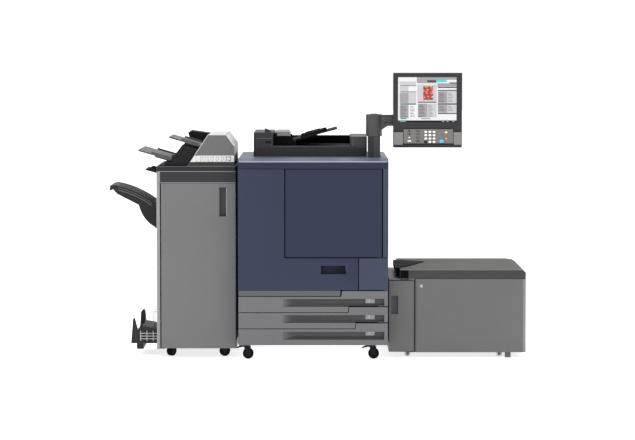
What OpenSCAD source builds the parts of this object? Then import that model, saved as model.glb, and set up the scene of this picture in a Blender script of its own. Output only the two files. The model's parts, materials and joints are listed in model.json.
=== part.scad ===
// Production photocopier in three docked units: print engine with scanner, document feeder and
// swivel touch panel; finisher with cover inserter and output trays; large paper bank.
// X runs to the right, Y to the back, Z up. The floor is Z = 0, and X = Y = 0 is the middle.

/* [Print engine] */
// Width of the engine
eng_w = 760; // [700:1:940]
// Depth of the engine
eng_d = 990; // [900:1:1200]
// Height of the engine's underside above the floor
eng_bottom = 74; // [68:1:90]
// Height of the top deck's upper face
eng_top = 1018; // [1000:1:1250]
// Height of the deck's sloping front edge
deck_bevel_h = 16; // [8:1:24]
// Depth of the deck's sloping front edge
deck_bevel_d = 60; // [20:1:120]
// Height of the fixed band above the doors
band_h = 34; // [20:1:60]
// Thickness of the side covers
cover_t = 10; // [6:1:14]
// Thickness of the front doors and drawer fronts
door_t = 40; // [34:1:44]
// Space between a door's back and the frame
door_back_gap = 6; // [5:1:10]
// Gap between neighbouring doors
seam = 5; // [4:0.5:7]
// Skin thickness of the hollow doors
skin = 4; // [3:0.5:6]
// Width of the tall part of the left door
left_door_w = 237; // [180:1:300]
// Width of the fixed strip at the right of the toner door
strip_w = 28; // [22:1:40]
// Width of the waste toner door
waste_door_w = 152; // [120:1:200]
// Height of the lower edge of the blue doors
door_low_z = 355; // [352:1:400]
// Height of the seam under the toner door
door_mid_z = 518; // [490:1:600]
// Width of the grip recess in the left door
grip_w = 127; // [90:1:160]
// Height of the grip recess in the left door
grip_h = 44; // [30:1:60]
// Depth of the grip recesses in the doors
grip_d = 28; // [20:1:32]
/* [Paper drawers] */
// Height of one drawer
drawer_pitch = 82; // [74:1:84]
// Rise of each drawer front at its right end
drawer_step = 32; // [20:1:36]
// Distance of the first rise from the engine's left side
step_at = 521; // [400:1:600]
// Shift of the rise from one drawer to the next
step_shift = 36; // [0:1:40]
// Gap between drawer fronts
drawer_gap = 3; // [2:0.5:4]
// Length of a drawer's grip groove
groove_w = 514; // [300:1:560]
// Height of a drawer's grip groove
groove_h = 40; // [25:1:44]
// Depth of a drawer's grip groove
groove_d = 30; // [20:1:34]
// Length over which the groove fades out at its left
groove_fade = 60; // [10:1:120]
// Depth of a paper tray
tray_d = 560; // [450:1:640]
// Wall thickness of a paper tray
tray_t = 2.5; // [1.5:0.5:4]

/* [Scanner and feeder] */
// Width of the scanner
scan_w = 584; // [560:1:640]
// Depth of the scanner
scan_d = 560; // [520:1:640]
// Distance of the scanner from the engine's left side
scan_in = 73; // [40:1:75]
// Setback of the scanner from the engine's front
scan_setback = 300; // [296:1:360]
// Height of the scanner base
scan_h = 46; // [36:1:60]
// Length of the platen glass
glass_w = 440; // [420:1:460]
// Width of the platen glass
glass_d = 310; // [297:1:330]
// Height of the feeder's head above the scanner
head_h = 78; // [70:1:95]
// Width of the feeder's head
head_w = 100; // [80:1:120]
// Width of the feeder's hinged cover
flap_w = 89; // [80:1:110]
// Slope of the document tray
doc_slope = 15; // [8:1:20]
// Length of the document tray
doc_len = 245; // [200:1:260]
// Depth of the document tray
doc_d = 380; // [330:1:400]

/* [Operator panel] */
// Width of the panel
panel_w = 350; // [330:1:420]
// Height of the panel
panel_h = 380; // [360:1:450]
// Thickness of the panel
panel_t = 50; // [44:1:60]
// Height of the panel's lower edge
panel_z = 1069; // [1060:1:1100]
// Distance of the panel's left edge from the engine's right side
panel_out = 27; // [15:1:80]
// Visible width of the screen
screen_w = 298; // [280:1:310]
// Visible height of the screen
screen_h = 220; // [200:1:225]
// Width of the post
post_w = 64; // [50:1:70]
// Depth of the post
post_d = 80; // [60:1:84]
// Height of the post above the deck
post_h = 107; // [104:1:120]
// Radius of the arm's pivot pin
pivot_r = 12; // [8:0.5:16]
// Travel of a key
key_travel = 2; // [1:0.5:3]

/* [Finisher] */
// Width of the finisher
fin_w = 404; // [380:1:500]
// Depth of the finisher
fin_d = 700; // [650:1:850]
// Setback of the finisher and paper bank from the engine's front
unit_setback = 90; // [60:1:120]
// Height of the finisher's underside
fin_bottom = 45; // [40:1:55]
// Height of the finisher's top
fin_top = 976; // [940:1:1180]
// Height of the finisher's top cover
fin_cap_h = 26; // [16:1:40]
// Height of the dark band above the finisher's door
fin_band_h = 56; // [30:1:80]
// Wall thickness of the cabinets
wall = 12; // [8:1:16]
// Width of the finisher's front left pillar
pillar_w = 18; // [16:1:30]
// Gap between the finisher and the engine
fin_gap = 11; // [6:1:20]
// How far the stacker tray reaches out
stack_reach = 250; // [220:1:300]
// Width across the stacker tray, front to back
stack_d = 340; // [300:1:380]
// Height of the stacker tray's root
stack_z = 772; // [760:1:790]
// How far the proof tray reaches out
proof_reach = 64; // [40:1:90]
// How far the booklet tray reaches out
book_reach = 140; // [120:1:180]

/* [Cover inserter] */
// Depth of the inserter
ins_d = 620; // [600:1:660]
// Height of the inserter above the finisher
ins_h = 161; // [150:1:180]
// Width of the inserter's housing at its foot
ins_foot_w = 241; // [230:1:260]
// Width of the inserter's housing at its top
ins_top_w = 92; // [80:1:110]
// Slope of the inserter's trays
ins_slope = 16; // [10:1:18]

/* [Paper bank] */
// Width of the paper bank
bank_w = 698; // [640:1:820]
// Depth of the paper bank
bank_d = 723; // [680:1:860]
// Height of the paper bank's underside
bank_bottom = 29; // [25:1:40]
// Height of the paper bank's cabinet
bank_top = 405; // [380:1:480]
// Height of the lid
lid_h = 49; // [40:1:60]
// Width of the relay section beside the engine
relay_w = 129; // [110:1:160]
// Gap between the paper bank and the engine
bank_gap = 5; // [3:1:10]

/* [Casters] */
// Radius of the large wheels
wheel_r = 27.5; // [24:0.5:29]
// Width of the large wheels
wheel_w = 24; // [18:1:28]
// Distance of a large wheel's axle behind its swivel
trail = 12; // [6:1:15]
// Radius of the large wheels' axles
axle_r = 4; // [3:0.5:5]
// Radius of the paper bank's small wheels
small_r = 16; // [14:0.5:18]
// Width of the paper bank's small wheels
small_w = 14; // [10:1:18]
// Swivel of the finisher's front left caster at rest
swivel_rest = 50; // [0:5:90]

/* [Hidden] */
$fn = 48;

// Clearances
fit = 0.05;
slip = 0.3;
touch = 0.5;

// Places of the three units
total_w = stack_reach + fin_w + fin_gap + eng_w + bank_gap + bank_w;
fin_x = stack_reach - total_w / 2;
eng_x = fin_x + fin_w + fin_gap;
eng_r = eng_x + eng_w;
bank_x = eng_r + bank_gap;
bank_r = bank_x + bank_w;
eng_y = -eng_d / 2;
eng_b = eng_d / 2;
unit_y = eng_y + unit_setback;

// Levels and places in the engine
deck_z = eng_top - deck_bevel_h;
band_z = deck_z - band_h;
door_b = eng_y + door_t;
frame_y = door_b + door_back_gap;
plate_t = 4;
pan_t = 20;
post = 40;
frame_x = eng_x + cover_t;
frame_r = eng_r - cover_t;
shelf_t = 12;
shelf_z = door_low_z - shelf_t - 18;
rear_wall_y = eng_b - 70;
drawer_top = eng_bottom + 1 + 3 * drawer_pitch;
toner_x = eng_x + left_door_w + seam / 2;
toner_r = eng_r - strip_w - seam;
waste_x = eng_r - waste_door_w + seam / 2;
pin_r = 4;
pin_l = 12;
hinge_in = 12;
toner_hinge_in = 8;
left_hinge = [eng_x + hinge_in, eng_y + hinge_in];
toner_hinge = [toner_r - toner_hinge_in, eng_y + toner_hinge_in];
waste_hinge = [eng_r - hinge_in, eng_y + hinge_in];
hinge_leaf = 2;
bottle_r = 38;
bottle_pitch = 110;
bottle_z = band_z - 75;
drum_r = 30;
drum_pitch = 110;
drum_z = bottle_z - 115;
shaft_r = 6;
drum_x = toner_x + 65;
belt_r = 22;
belt_z = drum_z - drum_r - belt_r - 6;
fuser_w = 165;
fuser_x = frame_x + post + 6;
fuser_z0 = door_low_z + 205;
fuser_z1 = band_z - 45;
runner_w = 22;
runner_t = 3;
tray_x = frame_x + post + 6;
tray_r = frame_r - post - 6;

// Places in the scanner and feeder
scan_x = eng_x + scan_in;
scan_r = scan_x + scan_w;
scan_y = eng_y + scan_setback;
scan_b = scan_y + scan_d;
scan_top = eng_top + scan_h;
glass_t = 4;
lid_t = 8;
head_top = scan_top + head_h;
hinge_z = scan_top + 9;
lid_hinge_y = scan_b + 12;
cheek_t = 14;
cheek_top = head_top - 20;
flap_hinge = [scan_x + head_w + 12, head_top - 9];
throat_y = scan_y + 60;
doc_x = scan_x + head_w + flap_w + 6;
doc_z = scan_top + 32;
doc_y = throat_y + cheek_t + 1;
ear_t = 8;
flap_y = throat_y - 6;
flap_d = doc_d + 2 * cheek_t + 14;

// Places in the operator panel
post_x = scan_r + 2;
post_y = eng_y + 205;
pivot = [post_x + post_w / 2, post_y + post_d / 2 - 2];
post_top = eng_top + post_h;
hub_r = 42;
hub_h = 112;
beam_h = 60;
beam_d = 40;
beam_top = post_top + hub_h;
panel_x = eng_r + panel_out;
tilt_x = panel_x + 86;
tilt_z = beam_top - beam_h / 2;
tilt_r = 8;
barrel_r = 20;
barrel_w = 84;
panel_back = pivot.y - beam_d / 2 - 26;
panel_y = panel_back - panel_t;
key_y = panel_y + 6;
keys_z = panel_z + 10;
screen_x = panel_x + (panel_w - screen_w) / 2 - 2;
screen_z = panel_z + panel_h - 22 - screen_h;

// Places in the finisher and its trays
fin_r = fin_x + fin_w;
fin_b = unit_y + fin_d;
fin_door_t = 35;
fin_body_y = unit_y + fin_door_t + 4;
fin_cap_z = fin_top - fin_cap_h;
fin_band_z = fin_cap_z - fin_band_h;
fin_door_x = fin_x + pillar_w + seam;
fin_hinge = [fin_door_x + 9, unit_y + 9];
fin_pan_z = 74;
stack_y = unit_y + 150;
stack_rail_w = 20;
stack_rail_t = 8;
proof_y = unit_y + 130;
book_y = unit_y + 120;
book_d = 320;
slot_h = 26;

// Places in the inserter
ins_x = fin_r - 8 - ins_foot_w;
ins_r = fin_r - 8;
ins_top_z = fin_top + ins_h;
ins_top_x = ins_r - 42 - ins_top_w;
strip_z = fin_top + 23;
ins_lean = (ins_top_x - ins_x) / ins_h;
ins_tray_t = 9;
head_x = ins_x - 78;

// Places in the paper bank
bank_b = unit_y + bank_d;
bank_top_z = bank_top + lid_h;
relay_r = bank_x + relay_w;
bank_front_t = 20;
bank_pan_z = 50;
lid_x = bank_x + 56;
lid_hinge = [bank_b + 8, bank_top + 6];
relay_hinge = [relay_r - 9, unit_y + 7];
relay_pin_r = 3;
corner_r = 16;
foot_in = 76;
foot_w = 28;

// Places and sizes of the casters
stem_r = 6;
crown_r = 22;
crown_z = 2 * wheel_r + 6;
arm_t = 3;
arm_gap = 1.5;
engine_casters = [eng_x + 38, eng_x + 675];
finisher_casters = [fin_x + 61, fin_x + 330];
bank_casters = [bank_x + 97, bank_x + 565];
bank_caster_rows = [unit_y + bank_front_t + 40, bank_b - 70];
small_axle_r = 3;

// A block between two opposite corners
module block(from, to) {
  translate(from)
    cube(to - from);
}

// A rectangle with round corners
module round_rect(size, r) {
  translate([r, 0])
    square([size.x - 2 * r, size.y]);
  translate([0, r])
    square([size.x, size.y - 2 * r]);
  for (x = [r, size.x - r], y = [r, size.y - r])
    translate([x, y])
      circle(r);
}

// An upright block with round vertical edges
module pillar(from, to, r) {
  translate(from)
    linear_extrude(to.z - from.z)
      round_rect([to.x - from.x, to.y - from.y], r);
}

// A front view outline (X, Z) carried from y0 back to y1
module front_view(y0, y1) {
  translate([0, y1, 0])
    rotate([90, 0, 0])
      linear_extrude(y1 - y0)
        children();
}

// A side view outline (Y, Z) carried from x0 to x1
module side_view(x0, x1) {
  translate([x0, 0, 0])
    rotate([90, 0, 90])
      linear_extrude(x1 - x0)
        children();
}

// Rods along the three axes
module rod_x(from, length, r) {
  translate(from)
    rotate([0, 90, 0])
      cylinder(h = length, r = r);
}

module rod_y(from, length, r) {
  translate(from)
    rotate([-90, 0, 0])
      cylinder(h = length, r = r);
}

module rod_z(from, length, r) {
  translate(from)
    cylinder(h = length, r = r);
}

// Points on a curve from a to b that bows out by rise at its middle
function bow(a, b, rise, n = 8) = [
  for (i = [0 : n])
    let (t = i / n, along = b - a, side = [-along.y, along.x] / norm(along))
      a + along * t + side * (4 * rise * t * (1 - t))
];

// ---- Print engine ----

module engine_frame() color("#8d9299") {
  difference() {
    union() {
      block([frame_x, frame_y, eng_bottom], [frame_r, eng_b - cover_t, eng_bottom + pan_t]);
      for (x = [frame_x, frame_r - post], y = [frame_y + plate_t, rear_wall_y - post])
        block([x, y, eng_bottom + pan_t], [x + post, y + post, deck_z]);
      block([frame_x, frame_y + plate_t, shelf_z],
            [frame_r, rear_wall_y, shelf_z + shelf_t]);
      block([frame_x, rear_wall_y, eng_bottom + pan_t],
            [frame_r, rear_wall_y + plate_t, deck_z]);
      for (x = [frame_x, frame_r - post])
        block([x, frame_y + plate_t, deck_z - post], [x + post, rear_wall_y, deck_z]);
      for (x = [frame_x, frame_r - post])
        block([x, rear_wall_y, eng_bottom + pan_t], [x + 12, eng_b - cover_t, deck_z]);
      for (x = [eng_x + 90, eng_r - 90])
        rear_caster_bracket(x, eng_b - 70);
    }
    engine_shaft_bores(rear_wall_y - touch, plate_t + 2 * touch);
    for (x = engine_casters)
      rod_z([x, eng_y + 70, eng_bottom - touch], 14, stem_r + fit);
  }
}

// Shafts of the drums and of the belt's end rollers
module engine_shaft_bores(y, length) {
  for (i = [0 : 3])
    rod_y([drum_x + i * drum_pitch, y, drum_z], length, shaft_r + fit);
  for (x = [drum_x - 10, drum_x + 3 * drum_pitch + 10])
    rod_y([x, y, belt_z], length, shaft_r + fit);
}

module side_cover(x) {
  difference() {
    pillar([x, frame_y, eng_bottom], [x + cover_t, eng_b - cover_t, deck_z], 3);
    for (i = [0 : 9])
      block([x - 1, eng_b - 330, 640 + i * 16], [x + cover_t + 1, eng_b - 170, 646 + i * 16]);
  }
}

module engine_left_cover() color("#454a60") {
  side_cover(eng_x);
}

module engine_right_cover() color("#454a60") {
  side_cover(eng_r - cover_t);
}

module engine_rear_cover() color("#454a60") {
  difference() {
    block([eng_x, eng_b - cover_t, eng_bottom], [eng_r, eng_b, deck_z]);
    for (i = [0 : 9], x = [eng_x + 90, eng_x + 420])
      block([x, eng_b - cover_t - 1, 700 + i * 16], [x + 240, eng_b + 1, 706 + i * 16]);
    block([eng_x + 80, eng_b - cover_t - 1, 140], [eng_x + 128, eng_b + 1, 170]);
  }
  difference() {
    block([eng_x + 80, eng_b - 34, 140], [eng_x + 128, eng_b - 2, 170]);
    block([eng_x + 83, eng_b - 30, 143], [eng_x + 125, eng_b - 1, 167]);
  }
  for (i = [0 : 2])
    block([eng_x + 91 + i * 11, eng_b - 31, 152], [eng_x + 95 + i * 11, eng_b - 14, 158]);
}

module top_deck() color("#6b6f86") {
  side_view(eng_x, eng_r)
    polygon([[eng_y, deck_z], [eng_y, deck_z + 2], [eng_y + deck_bevel_d, eng_top],
             [eng_b, eng_top], [eng_b, deck_z]]);
}

// Fixed cover: top band, right strip and grey header strip on one plate behind the doors
module front_cover() color("#3c4158") {
  difference() {
    union() {
      block([frame_x, frame_y, shelf_z], [frame_r, frame_y + plate_t, deck_z]);
      pillar([eng_x, eng_y, band_z], [eng_r, frame_y, deck_z], 3);
      pillar([eng_r - strip_w, eng_y, door_mid_z + 2], [eng_r, frame_y, band_z + touch], 3);
      block([eng_x + 3, eng_y, drawer_top + drawer_gap], [eng_x + step_at - drawer_gap, frame_y,
             door_low_z - 2]);
      block([eng_r - 60, eng_y + 2, door_mid_z], [eng_r - 1, frame_y, door_mid_z + hinge_leaf]);
      block([eng_r - 24, eng_y + 2, door_low_z - 3.5], [eng_r - 4, frame_y, door_low_z - 1]);
      rod_z([left_hinge.x, left_hinge.y, band_z - pin_l], pin_l + 4, pin_r);
      rod_z([left_hinge.x, left_hinge.y, door_low_z - 6], pin_l + 8, pin_r);
      rod_z([toner_hinge.x, toner_hinge.y, band_z - pin_l], pin_l + 4, pin_r);
      rod_z([toner_hinge.x, toner_hinge.y, door_mid_z], pin_l + 4, pin_r);
      rod_z([waste_hinge.x, waste_hinge.y, door_mid_z - pin_l], pin_l + 1, pin_r);
      rod_z([waste_hinge.x, waste_hinge.y, door_low_z - 3], pin_l + 3, pin_r);
    }
    engine_shaft_bores(frame_y - touch, plate_t + 2 * touch);
    for (i = [0 : 3])
      rod_y([drum_x + i * bottle_pitch, frame_y - 1, bottle_z], plate_t + 2, bottle_r + slip);
    block([fuser_x, frame_y - 1, fuser_z0 - slip],
          [fuser_x + fuser_w, frame_y + plate_t + 1, fuser_z1 + slip]);
  }
}

// Hinge bosses with bores at both ends of a door
module hinge_bosses(hinge, z0, z1, r) {
  rod_z([hinge.x, hinge.y, z0], 24, r);
  rod_z([hinge.x, hinge.y, z1 - 24], 24, r);
}

module hinge_bores(hinge, z0, z1) {
  rod_z([hinge.x, hinge.y, z0 - 1], pin_l + 8, pin_r + fit);
  rod_z([hinge.x, hinge.y, z1 - pin_l - 7], pin_l + 8, pin_r + fit);
}

module left_front_door() color("#474c62") {
  x0 = eng_x + 1;
  x1 = eng_x + left_door_w - seam / 2;
  x2 = waste_x - seam;
  z0 = door_low_z;
  z1 = door_mid_z - 2;
  z2 = band_z - 3;
  gx = eng_x + 419;
  gz = (z0 + z1) / 2 - grip_h / 2 + 22;
  difference() {
    union() {
      difference() {
        front_view(eng_y, door_b)
          polygon([[x0, z0], [x2, z0], [x2, z1], [x1, z1], [x1, z2], [x0, z2]]);
        front_view(eng_y + skin, door_b + 1)
          polygon([[x0 + skin, z0 + skin], [x2 - skin, z0 + skin], [x2 - skin, z1 - skin],
                   [x1 - skin, z1 - skin], [x1 - skin, z2 - skin], [x0 + skin, z2 - skin]]);
      }
      hinge_bosses(left_hinge, z0, z2, 9);
      block([gx - skin, eng_y + skin, gz - skin],
            [gx + grip_w + skin, eng_y + grip_d + skin, gz + grip_h + skin + 12]);
    }
    hinge_bores(left_hinge, z0, z2);
    block([gx, eng_y - 1, gz], [gx + grip_w, eng_y + grip_d, gz + grip_h]);
    block([gx, eng_y + skin + 2, gz + grip_h - 1], [gx + grip_w, eng_y + grip_d, gz + grip_h + 12]);
  }
}

// A hollow rectangular door with hinge bosses
module hinged_door(x0, x1, z0, z1, hinge, boss_r) {
  difference() {
    union() {
      difference() {
        block([x0, eng_y, z0], [x1, door_b, z1]);
        block([x0 + skin, eng_y + skin, z0 + skin], [x1 - skin, door_b + 1, z1 - skin]);
      }
      hinge_bosses(hinge, z0, z1, boss_r);
    }
    hinge_bores(hinge, z0, z1);
  }
}

module toner_door() color("#40455a") {
  hinged_door(toner_x, toner_r, door_mid_z + hinge_leaf + 1, band_z - 3, toner_hinge, 7);
}

module waste_toner_door() color("#4f5468") {
  hinged_door(waste_x, eng_r - 1, door_low_z, door_mid_z - 2, waste_hinge, 9);
}

module toner_bottles() color("#dcdcd8") {
  for (i = [0 : 3])
    translate([drum_x + i * bottle_pitch, frame_y - 3, bottle_z])
      rotate([-90, 0, 0]) {
        cylinder(h = 30, r = bottle_r);
        translate([0, 0, 30])
          cylinder(h = 380, r = bottle_r - 3);
      }
  block([drum_x - 45, frame_y + 20, bottle_z - bottle_r - 12],
        [drum_x + 3 * bottle_pitch + 45, frame_y + 410, bottle_z - bottle_r + 6]);
}

module imaging_drums() color("#3d6b58") {
  for (i = [0 : 3]) {
    x = drum_x + i * drum_pitch;
    rod_y([x, frame_y + 20, drum_z], rear_wall_y - frame_y - 60, drum_r);
    rod_y([x, frame_y - 2, drum_z], rear_wall_y + plate_t - frame_y + 2, shaft_r);
  }
}

module transfer_belt() color("#2a2a2c") {
  span = 3 * drum_pitch + 20;
  front_view(frame_y + 20, rear_wall_y - 40)
    difference() {
      translate([drum_x - 10, belt_z - belt_r - 2])
        belt_outline(span, belt_r + 2);
      translate([drum_x - 10, belt_z - belt_r])
        belt_outline(span, belt_r);
    }
  for (x = [drum_x - 10, drum_x - 10 + span]) {
    rod_y([x, frame_y + 18, belt_z], rear_wall_y - frame_y - 56, belt_r);
    rod_y([x, frame_y - 2, belt_z], rear_wall_y + plate_t - frame_y + 2, shaft_r);
  }
}

// A flat loop with half-round ends
module belt_outline(span, r) {
  square([span, 2 * r]);
  for (x = [0, span])
    translate([x, r])
      circle(r);
}

module fuser_unit() color("#a7aab0") {
  x = fuser_x;
  difference() {
    block([x + slip, frame_y - 4, fuser_z0], [x + fuser_w - slip, frame_y + 500, fuser_z1]);
    block([x + 20, frame_y - 5, fuser_z0 + 70], [x + 60, frame_y + 16, fuser_z0 + 190]);
    block([x + 30, frame_y + 60, fuser_z0 + 120], [x + fuser_w - 30, frame_y + 470, fuser_z1 + 1]);
  }
  block([x + 34, frame_y - 4, fuser_z0 + 70], [x + 46, frame_y + 4, fuser_z0 + 190]);
  for (dx = [55, 109])
    rod_y([x + dx, frame_y + 50, fuser_z0 + 180], 430, 24);
  block([x + 10, frame_y + 8, shelf_z + shelf_t], [x + fuser_w - 10, frame_y + 480, fuser_z0]);
}

// Front of one drawer: its right end steps up, and its grip groove fades out to the left
function drawer_z(i) = drawer_top - i * drawer_pitch;
function drawer_step_x(i) = eng_x + step_at + i * step_shift;

module drawer_front(i) {
  x0 = eng_x + 3;
  x1 = eng_r - 3;
  s0 = drawer_step_x(i);
  s1 = drawer_step_x(i + 1);
  low = i == 2 ? drawer_z(3) : drawer_z(i + 1) + drawer_gap;
  low_r = i == 2 ? drawer_z(3) : low + drawer_step;
  top = drawer_z(i);
  gz = low + drawer_step - 4;
  gx = x1 - 18 - groove_w;
  difference() {
    front_view(eng_y, door_b)
      polygon([[x0, low], [i == 2 ? s0 : s1 - 2, low], [i == 2 ? s0 + 1 : s1 + 2, low_r],
               [x1, low_r], [x1, top + drawer_step - drawer_gap], [s0 + drawer_gap + 2,
               top + drawer_step - drawer_gap], [s0 + drawer_gap - 2, top], [x0, top]]);
    intersection() {
      side_view(gx, gx + groove_w)
        polygon([[eng_y - 1, gz], [eng_y - 1, gz + groove_h], [eng_y + groove_d, gz + groove_h],
                 [eng_y + groove_d, gz + 14], [eng_y + 8, gz]]);
      translate([0, 0, gz - 1])
        linear_extrude(groove_h + 2)
          polygon([[gx, eng_y - 1], [gx + groove_w, eng_y - 1], [gx + groove_w, eng_y + groove_d],
                   [gx + groove_fade, eng_y + groove_d], [gx, eng_y]]);
    }
  }
}

// Open paper tray behind a drawer front, with side and rear paper guides
module drawer_tray(i) {
  z0 = drawer_z(i + 1) + drawer_step + drawer_gap + 3;
  z1 = drawer_z(i) - 3;
  x0 = tray_x;
  x1 = tray_r;
  y1 = door_b + tray_d;
  difference() {
    block([x0, door_b, z0], [x1, y1, z1]);
    block([x0 + tray_t, door_b + tray_t, z0 + tray_t], [x1 - tray_t, y1 - tray_t, z1 + 1]);
  }
  for (x = [x0 + 90, x1 - 92])
    block([x, door_b + 120, z0 + tray_t - touch], [x + tray_t, door_b + 260, z1 - 2]);
}

module drawer_1_front() color("#818183") {
  drawer_front(0);
}

module drawer_2_front() color("#7f7f81") {
  drawer_front(1);
}

module drawer_3_front() color("#7c7c7c") {
  drawer_front(2);
}

module drawer_1_tray() color("#b4b6b8") {
  drawer_tray(0);
}

module drawer_2_tray() color("#b4b6b8") {
  drawer_tray(1);
}

module drawer_3_tray() color("#b4b6b8") {
  drawer_tray(2);
}

module drawer_runners() color("#9a9ea3") {
  for (i = [0 : 2]) {
    z = drawer_z(i + 1) + drawer_step + drawer_gap + 3;
    for (side = [0, 1]) {
      x = side == 0 ? frame_x + post : frame_r - post - runner_w;
      wall_x = side == 0 ? x : x + runner_w - runner_t;
      block([x, frame_y + plate_t, z - runner_t], [x + runner_w, rear_wall_y, z]);
      block([wall_x, frame_y + plate_t, z - touch], [wall_x + runner_t, rear_wall_y, z + 20]);
    }
  }
}

// ---- Scanner and document feeder ----

module scanner_base() color("#2f2f31") {
  gx = scan_x + 66;
  gy = scan_y + 90;
  difference() {
    pillar([scan_x, scan_y, eng_top], [scan_r, scan_b, scan_top], 12);
    block([scan_x + 20, scan_y + 20, eng_top + 5], [scan_r - 20, scan_b - 20, scan_top - 8]);
    block([gx, gy, scan_top - 10], [gx + glass_w, gy + glass_d, scan_top + 1]);
    block([gx - 6, gy - 6, scan_top - glass_t - slip],
          [gx + glass_w + 6, gy + glass_d + 6, scan_top + 1]);
    block([gx - 36, gy, scan_top - glass_t - slip], [gx - 14, gy + glass_d, scan_top + 1]);
  }
  for (x = [scan_x + 90, scan_r - 90]) {
    block([x - 34, scan_b - 1, scan_top - 34], [x - 15, scan_b + 24, scan_top - 10]);
    block([x - 34, scan_b + 2, scan_top - 20], [x - 15, scan_b + 22, hinge_z]);
    rod_x([x - 34, lid_hinge_y, hinge_z], 19, 10);
    rod_x([x - 16, lid_hinge_y, hinge_z], 46, 4);
  }
}

module platen_glass() color("#bfd3d6") {
  gx = scan_x + 66;
  gy = scan_y + 90;
  block([gx - 5.7, gy - 5.7, scan_top - glass_t - slip],
        [gx + glass_w + 5.7, gy + glass_d + 5.7, scan_top - slip]);
  block([gx - 35.7, gy + slip, scan_top - glass_t - slip],
        [gx - 14.3, gy + glass_d - slip, scan_top - slip]);
}

module feeder_body() color("#3c3b3e") {
  x1 = scan_x + head_w;
  x2 = x1 + flap_w;
  bx = scan_r - 84;
  difference() {
    union() {
      pillar([scan_x, scan_y, scan_top], [scan_r, scan_b, scan_top + lid_t], 12);
      pillar([scan_x, scan_y, scan_top + lid_t - touch], [x1, scan_b, head_top], 12);
      block([x1 - 1, scan_b - 88, scan_top + lid_t - touch], [bx + 1, scan_b - 1, head_top - 30]);
      pillar([bx, scan_y, scan_top + lid_t - touch], [scan_r, scan_b, head_top - 22], 12);
      for (y = [throat_y, throat_y + 2 * (cheek_t + 1) + doc_d - cheek_t])
        front_view(y, y + cheek_t)
          polygon([[x1 - 1, scan_top + 1], [doc_x + 20, scan_top + 1], [doc_x + 20, doc_z],
                   [doc_x + 8, doc_z + 14], [x2 + 2, cheek_top], [x1 - 1, cheek_top]]);
      front_view(throat_y + 1, throat_y + doc_d + 2 * cheek_t)
        polygon([[x1 - 1, scan_top + 1], [x1 + 70, scan_top + 1], [doc_x - 12, doc_z - 16],
                 [doc_x - 12, doc_z - 9], [x1 - 1, doc_z - 24]]);
      for (x = [scan_x + 90, scan_r - 90]) {
        block([x - 14, scan_b - 2, scan_top + 2], [x + 14, scan_b + 13, scan_top + lid_t - 1]);
        rod_x([x - 14, lid_hinge_y, hinge_z], 28, 9);
      }
      for (y = [flap_y - ear_t - 1, flap_y + flap_d + 1])
        block([x1 - 2, y, head_top - 24], [flap_hinge.x + 8, y + ear_t, head_top - 3]);
      rod_y([flap_hinge.x, flap_y - 4, flap_hinge.y], 14, 3);
      rod_y([flap_hinge.x, flap_y + flap_d - 10, flap_hinge.y], 14, 3);
      front_view(scan_y + 50, scan_y + 120)
        polygon([[scan_x + 58, head_top - 1], [scan_x + 92, head_top - 1],
                 [scan_x + 92, head_top + 3], [scan_x + 66, head_top + 17],
                 [scan_x + 57, head_top + 19], [scan_x + 57, head_top + 12]]);
    }
    for (x = [scan_x + 90, scan_r - 90])
      rod_x([x - 15, lid_hinge_y, hinge_z], 30, 4 + fit);
    rod_y([doc_x, throat_y - 1, doc_z], doc_d + 4 * cheek_t, 4 + fit);
  }
}

// Hinged cover over the feed throat; its left end is rounded about its hinge
module feeder_cover() color("#8f8d8e") {
  x2 = scan_x + head_w + flap_w;
  y0 = flap_y;
  y1 = flap_y + flap_d;
  z0 = cheek_top + slip;
  difference() {
    union() {
      front_view(y0, y1)
        polygon([[flap_hinge.x, z0], [x2, z0], [x2 - 4, head_top - 2], [x2 - 12, head_top + 3],
                 [flap_hinge.x + 6, head_top + 3], [flap_hinge.x, flap_hinge.y + 9]]);
      rod_y([flap_hinge.x, y0, flap_hinge.y], y1 - y0, 9);
    }
    front_view(throat_y + cheek_t + 3, throat_y + doc_d + cheek_t - 1)
      polygon([[flap_hinge.x + 12, z0 - 1], [x2 - 5, z0 - 1], [x2 - 9, head_top - 5],
               [flap_hinge.x + 14, head_top - 2]]);
    rod_y([flap_hinge.x, y0 - 1, flap_hinge.y], y1 - y0 + 2, 3 + fit);
  }
}

module document_tray() color("#29292b") {
  y0 = doc_y + 0.5;
  y1 = doc_y + doc_d - 0.5;
  translate([doc_x, 0, doc_z])
    rotate([0, -doc_slope, 0]) {
      rod_y([0, y0 - cheek_t, 0], y1 - y0 + 2 * cheek_t, 4);
      rod_y([0, y0 + 1, 0], y1 - y0 - 2, 7);
      block([0, y0, -3], [doc_len, y1, 3]);
      for (y = [y0 + 10, y0 + 60, y1 - 66, y1 - 16])
        block([12, y, -9], [doc_len * 0.55, y + 6, touch]);
      for (y = [y0 + 30, y1 - 36])
        block([50, y, -touch], [190, y + 6, 14]);
    }
}

// ---- Operator panel ----

module panel_post() color("#39383b") {
  block([post_x, post_y - 4, eng_top], [post_x + post_w + 4, post_y + post_d + 2, eng_top + 6]);
  pillar([post_x, post_y, eng_top + 5], [post_x + post_w, post_y + post_d, post_top], 8);
  rod_z([pivot.x, pivot.y, post_top - 1], hub_h * 0.6, pivot_r);
}

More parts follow.
